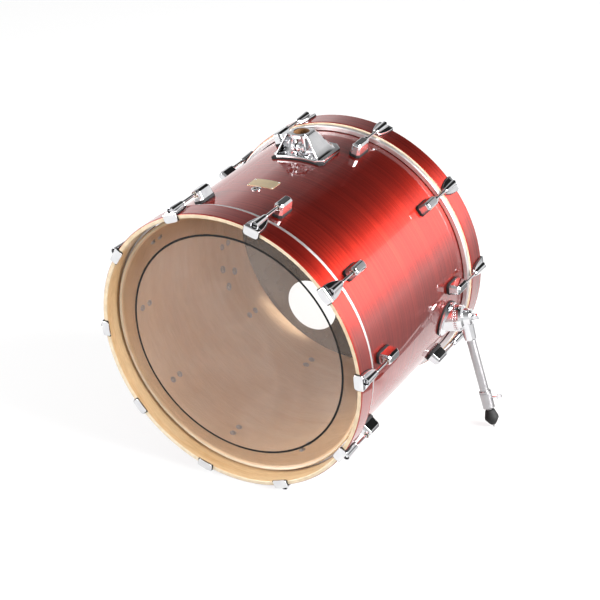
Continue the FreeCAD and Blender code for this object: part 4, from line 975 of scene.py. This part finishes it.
def flesh_ring_mesh():
    """Aluminium flesh hoop of the batter head, with rounded outer corners."""
    corners = ((FLESH_NEAR, FLESH_INNER, 180, FLESH_RIM), (FLESH_NEAR, FLESH_OUTER, 90, FLESH_BEND),
               (FLESH_FAR, FLESH_OUTER, 0, FLESH_BEND), (FLESH_FAR, FLESH_INNER, 270, FLESH_RIM))
    profile = []
    for along, radius, start, size in corners:
        y = along + size if along == FLESH_NEAR else along - size
        r = radius - size if radius == FLESH_OUTER else radius + size
        for k in range(5):
            turn = math.radians(start + 90.0 - 22.5 * k)
            profile.append((y + size * math.cos(turn), r + size * math.sin(turn)))
    return rounded(part_of(lambda form: add_tube(form, profile, 0, 256)), 40.0)


def make_flesh_rings():
    """The flesh hoops of both heads, a little wider along the drum than their solids."""
    ring = flesh_ring_mesh()
    for name, mesh in (("batter_flesh_ring", ring),
                       ("resonant_flesh_ring", mirrored(ring, "resonant_flesh_ring"))):
        fit(mesh, name, "drum", "aluminium", ON_AXIS, "flesh_hoops")


def make_badge_pins():
    """Small domed pins at the badge's corners."""
    low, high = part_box("badge")
    form = bmesh.new()
    for x in (low.x / MM + PIN_INSET, high.x / MM - PIN_INSET):
        for y in (low.y / MM + PIN_INSET, high.y / MM - PIN_INSET):
            height = on_shell(high.z / MM - AXIS_HEIGHT, x) - PIN_SUNK
            loft(form, [[(x + r * math.cos(t), y + r * math.sin(t), height + z)
                         for t in turns(16)] for r, z in PIN_PROFILE])
    pins = rounded(mesh_of("badge_pins", form), 50.0)
    fit(pins, "badge_pins", "drum", "chrome", ON_AXIS)


# --- Camera, studio and light ---------------------------------------------------------

# Metres, but for the lens and its sensor. A card's fade is (distance, distance,
# brightness, brightness), and a lamp is (name, place, size, watts).
LENS = 97.5
SENSOR_WIDTH = 36.0
CAMERA_PLACE = (1.62995, -2.46767, 1.81951)
CAMERA_RIGHT = (0.85739339, 0.50648736, -0.09136260)
CAMERA_UP = (-0.16576715, 0.43983092, 0.88264943)
CAMERA_BACK = (0.48723487, -0.74163287, 0.46106709)
WORLD_STRENGTH = 0.55
FLOOR_HALF = 12.0
FLOOR_TONE = (0.22, 0.22, 0.22, 1)
FLOOR_GLOW = 0.77
# The ceiling is a painted dark reflection: a dark sheet seen only in gloss, which darkens what the drum's metal
# and coat reflect from above.
CEILING_PLACE = (2.9, 3.3, 4.0)
CEILING_RADIUS = 11.5
CEILING_FADE = (3.0, CEILING_RADIUS, 0.02, 1.0)
# The flag paints shade into reflections only: a grey sheet lying on the floor beside the drum, which darkens the
# floor as the drum's metal and coat reflect it.
FLOOR_SHADE_OUTLINE = ((0.40, 0.12), (5.0, -3.0), (5.0, 6.0), (0.90, 6.0), (0.72, 1.3), (0.40, 0.2))
FLOOR_SHADE_HEIGHT = 0.001
FLOOR_SHADE_FADE = (0.5, 1.5, 0.30, 0.95)
LAMP_AIM = (0.0, 0.0, 0.3)
LAMP_FADE = (0.25, 0.5)
LAMPS = (("key", (3.0, 0.35, 1.75), (3.0, 2.5), 680),
         ("fill", (-3.0, -2.4, 1.6), (2.6, 2.6), 265))


def make_camera():
    """The photograph's viewpoint: a long lens from the front right, looking down."""
    data = bpy.data.cameras.new("camera")
    data.lens = LENS
    data.sensor_width = SENSOR_WIDTH
    data.clip_end = 100.0
    turn = Matrix((CAMERA_RIGHT, CAMERA_UP, CAMERA_BACK)).transposed().to_4x4()
    camera = add_object("camera", data, Matrix.Translation(CAMERA_PLACE) @ turn)
    bpy.context.scene.camera = camera


def make_world():
    """White background that lights the drum less than it shows."""
    world = bpy.data.worlds.new("studio")
    graph = Graph(world)
    shine = graph.nodes["Background"]
    set_sockets(shine, {"Color": (1, 1, 1, 1)})
    level = graph.spread(graph.seen_directly(), WORLD_STRENGTH, 1.0, 0.0, 1.0)
    graph.join(level, shine.inputs["Strength"])
    bpy.context.scene.world = world


def add_stage(name, mesh, material, place=None):
    """One piece of the studio, which isn't part of the drum."""
    mesh.materials.append(material)
    item = add_object(name, mesh, place)
    return item


def make_floor():
    """White floor that keeps a soft shadow."""
    mesh = bpy.data.meshes.new("floor")
    corners = [(x * FLOOR_HALF, y * FLOOR_HALF, 0) for x, y in ((-1, -1), (1, -1), (1, 1), (-1, 1))]
    mesh.from_pydata(corners, [], [(0, 1, 2, 3)])
    paint = Paint("floor_white", Base_Color=FLOOR_TONE, Roughness=0.9, Specular_IOR_Level=0.0,
                  Emission_Color=(1, 1, 1, 1))
    glow = paint.math("MULTIPLY", paint.seen_directly(), FLOOR_GLOW)
    paint.feed("Emission Strength", glow)
    add_stage("floor", mesh, paint.material)


def add_gloss_card(name, mesh, measure, fade, place=None):
    """Card seen only in gloss, which paints light and shade into reflections alone; its brightness follows the
    measure of its own coordinates.
    """
    material = bpy.data.materials.new(name)
    graph = Graph(material)
    graph.nodes.remove(graph.nodes["Principled BSDF"])
    distance = measure(graph, graph.add("ShaderNodeTexCoord").outputs["Object"])
    shine = graph.add("ShaderNodeEmission")
    start, end, low, high = fade
    graph.join(graph.spread(distance, low, high, start, end), shine.inputs["Strength"])
    graph.join(shine.outputs["Emission"], graph.nodes["Material Output"].inputs["Surface"])
    card = add_stage(name, mesh, material, place)
    card.visible_camera = False
    card.visible_diffuse = False
    card.visible_transmission = False
    card.visible_shadow = False


def from_middle(graph, position):
    """Distance from the card's own origin."""
    length = graph.add("ShaderNodeVectorMath")
    length.operation = "LENGTH"
    graph.join(position, length.inputs[0])
    return length.outputs["Value"]


def along_x(graph, position):
    """Distance along X."""
    return graph.split(position)[0]


def make_painted_ceiling_reflection():
    """Painted dark reflection: a dark sheet over the drum, seen only in gloss, standing in for a studio's dark
    ceiling and fading out towards its edge.
    """
    mesh = bpy.data.meshes.new("ceiling")
    form = bmesh.new()
    bmesh.ops.create_circle(form, cap_ends=True, segments=64, radius=CEILING_RADIUS)
    form.to_mesh(mesh)
    form.free()
    place = Matrix.Translation(CEILING_PLACE)
    add_gloss_card("ceiling", mesh, from_middle, CEILING_FADE, place)


def make_painted_floor_shade():
    """Grey card on the floor beside the drum, seen only in gloss: painted shade on the reflected floor, darkest
    near the drum and paling away from it.
    """
    mesh = bpy.data.meshes.new("painted_floor_shade")
    corners = [(x, y, FLOOR_SHADE_HEIGHT) for x, y in FLOOR_SHADE_OUTLINE]
    mesh.from_pydata(corners, [], [tuple(range(len(corners)))])
    add_gloss_card("painted_floor_shade", mesh, along_x, FLOOR_SHADE_FADE)


def soften_edges(data):
    """Fades a lamp's light out towards its edges, as a softbox's cloth does."""
    graph = Graph(data)
    x, y, _ = graph.split(graph.add("ShaderNodeNewGeometry").outputs["Parametric"])
    fades = []
    for share in (x, y):
        off = graph.math("ABSOLUTE", graph.math("SUBTRACT", share, 0.5))
        fades.append(graph.spread(off, 1.0, 0.0, *LAMP_FADE))
        fades[-1].node.interpolation_type = "SMOOTHSTEP"
    graph.join(graph.math("MULTIPLY", *fades), graph.nodes["Emission"].inputs["Strength"])


def make_lights():
    """A large soft key lamp at the right and a weaker fill lamp at the left front."""
    for name, place, size, watts in LAMPS:
        data = bpy.data.lights.new(name, "AREA")
        data.shape = "RECTANGLE"
        data.size, data.size_y = size
        data.energy = watts
        soften_edges(data)
        turn = (Vector(place) - Vector(LAMP_AIM)).to_track_quat("Z", "Y").to_matrix().to_4x4()
        add_object(name, data, Matrix.Translation(place) @ turn)


dress_nodes()
make_hardware()
make_tom_bracket()
make_spur_rings()
make_badge_pins()
make_flesh_rings()
make_camera()
make_world()
make_floor()
make_painted_ceiling_reflection()
make_painted_floor_shade()
make_lights()

bpy.context.scene.view_settings.view_transform = "Standard"
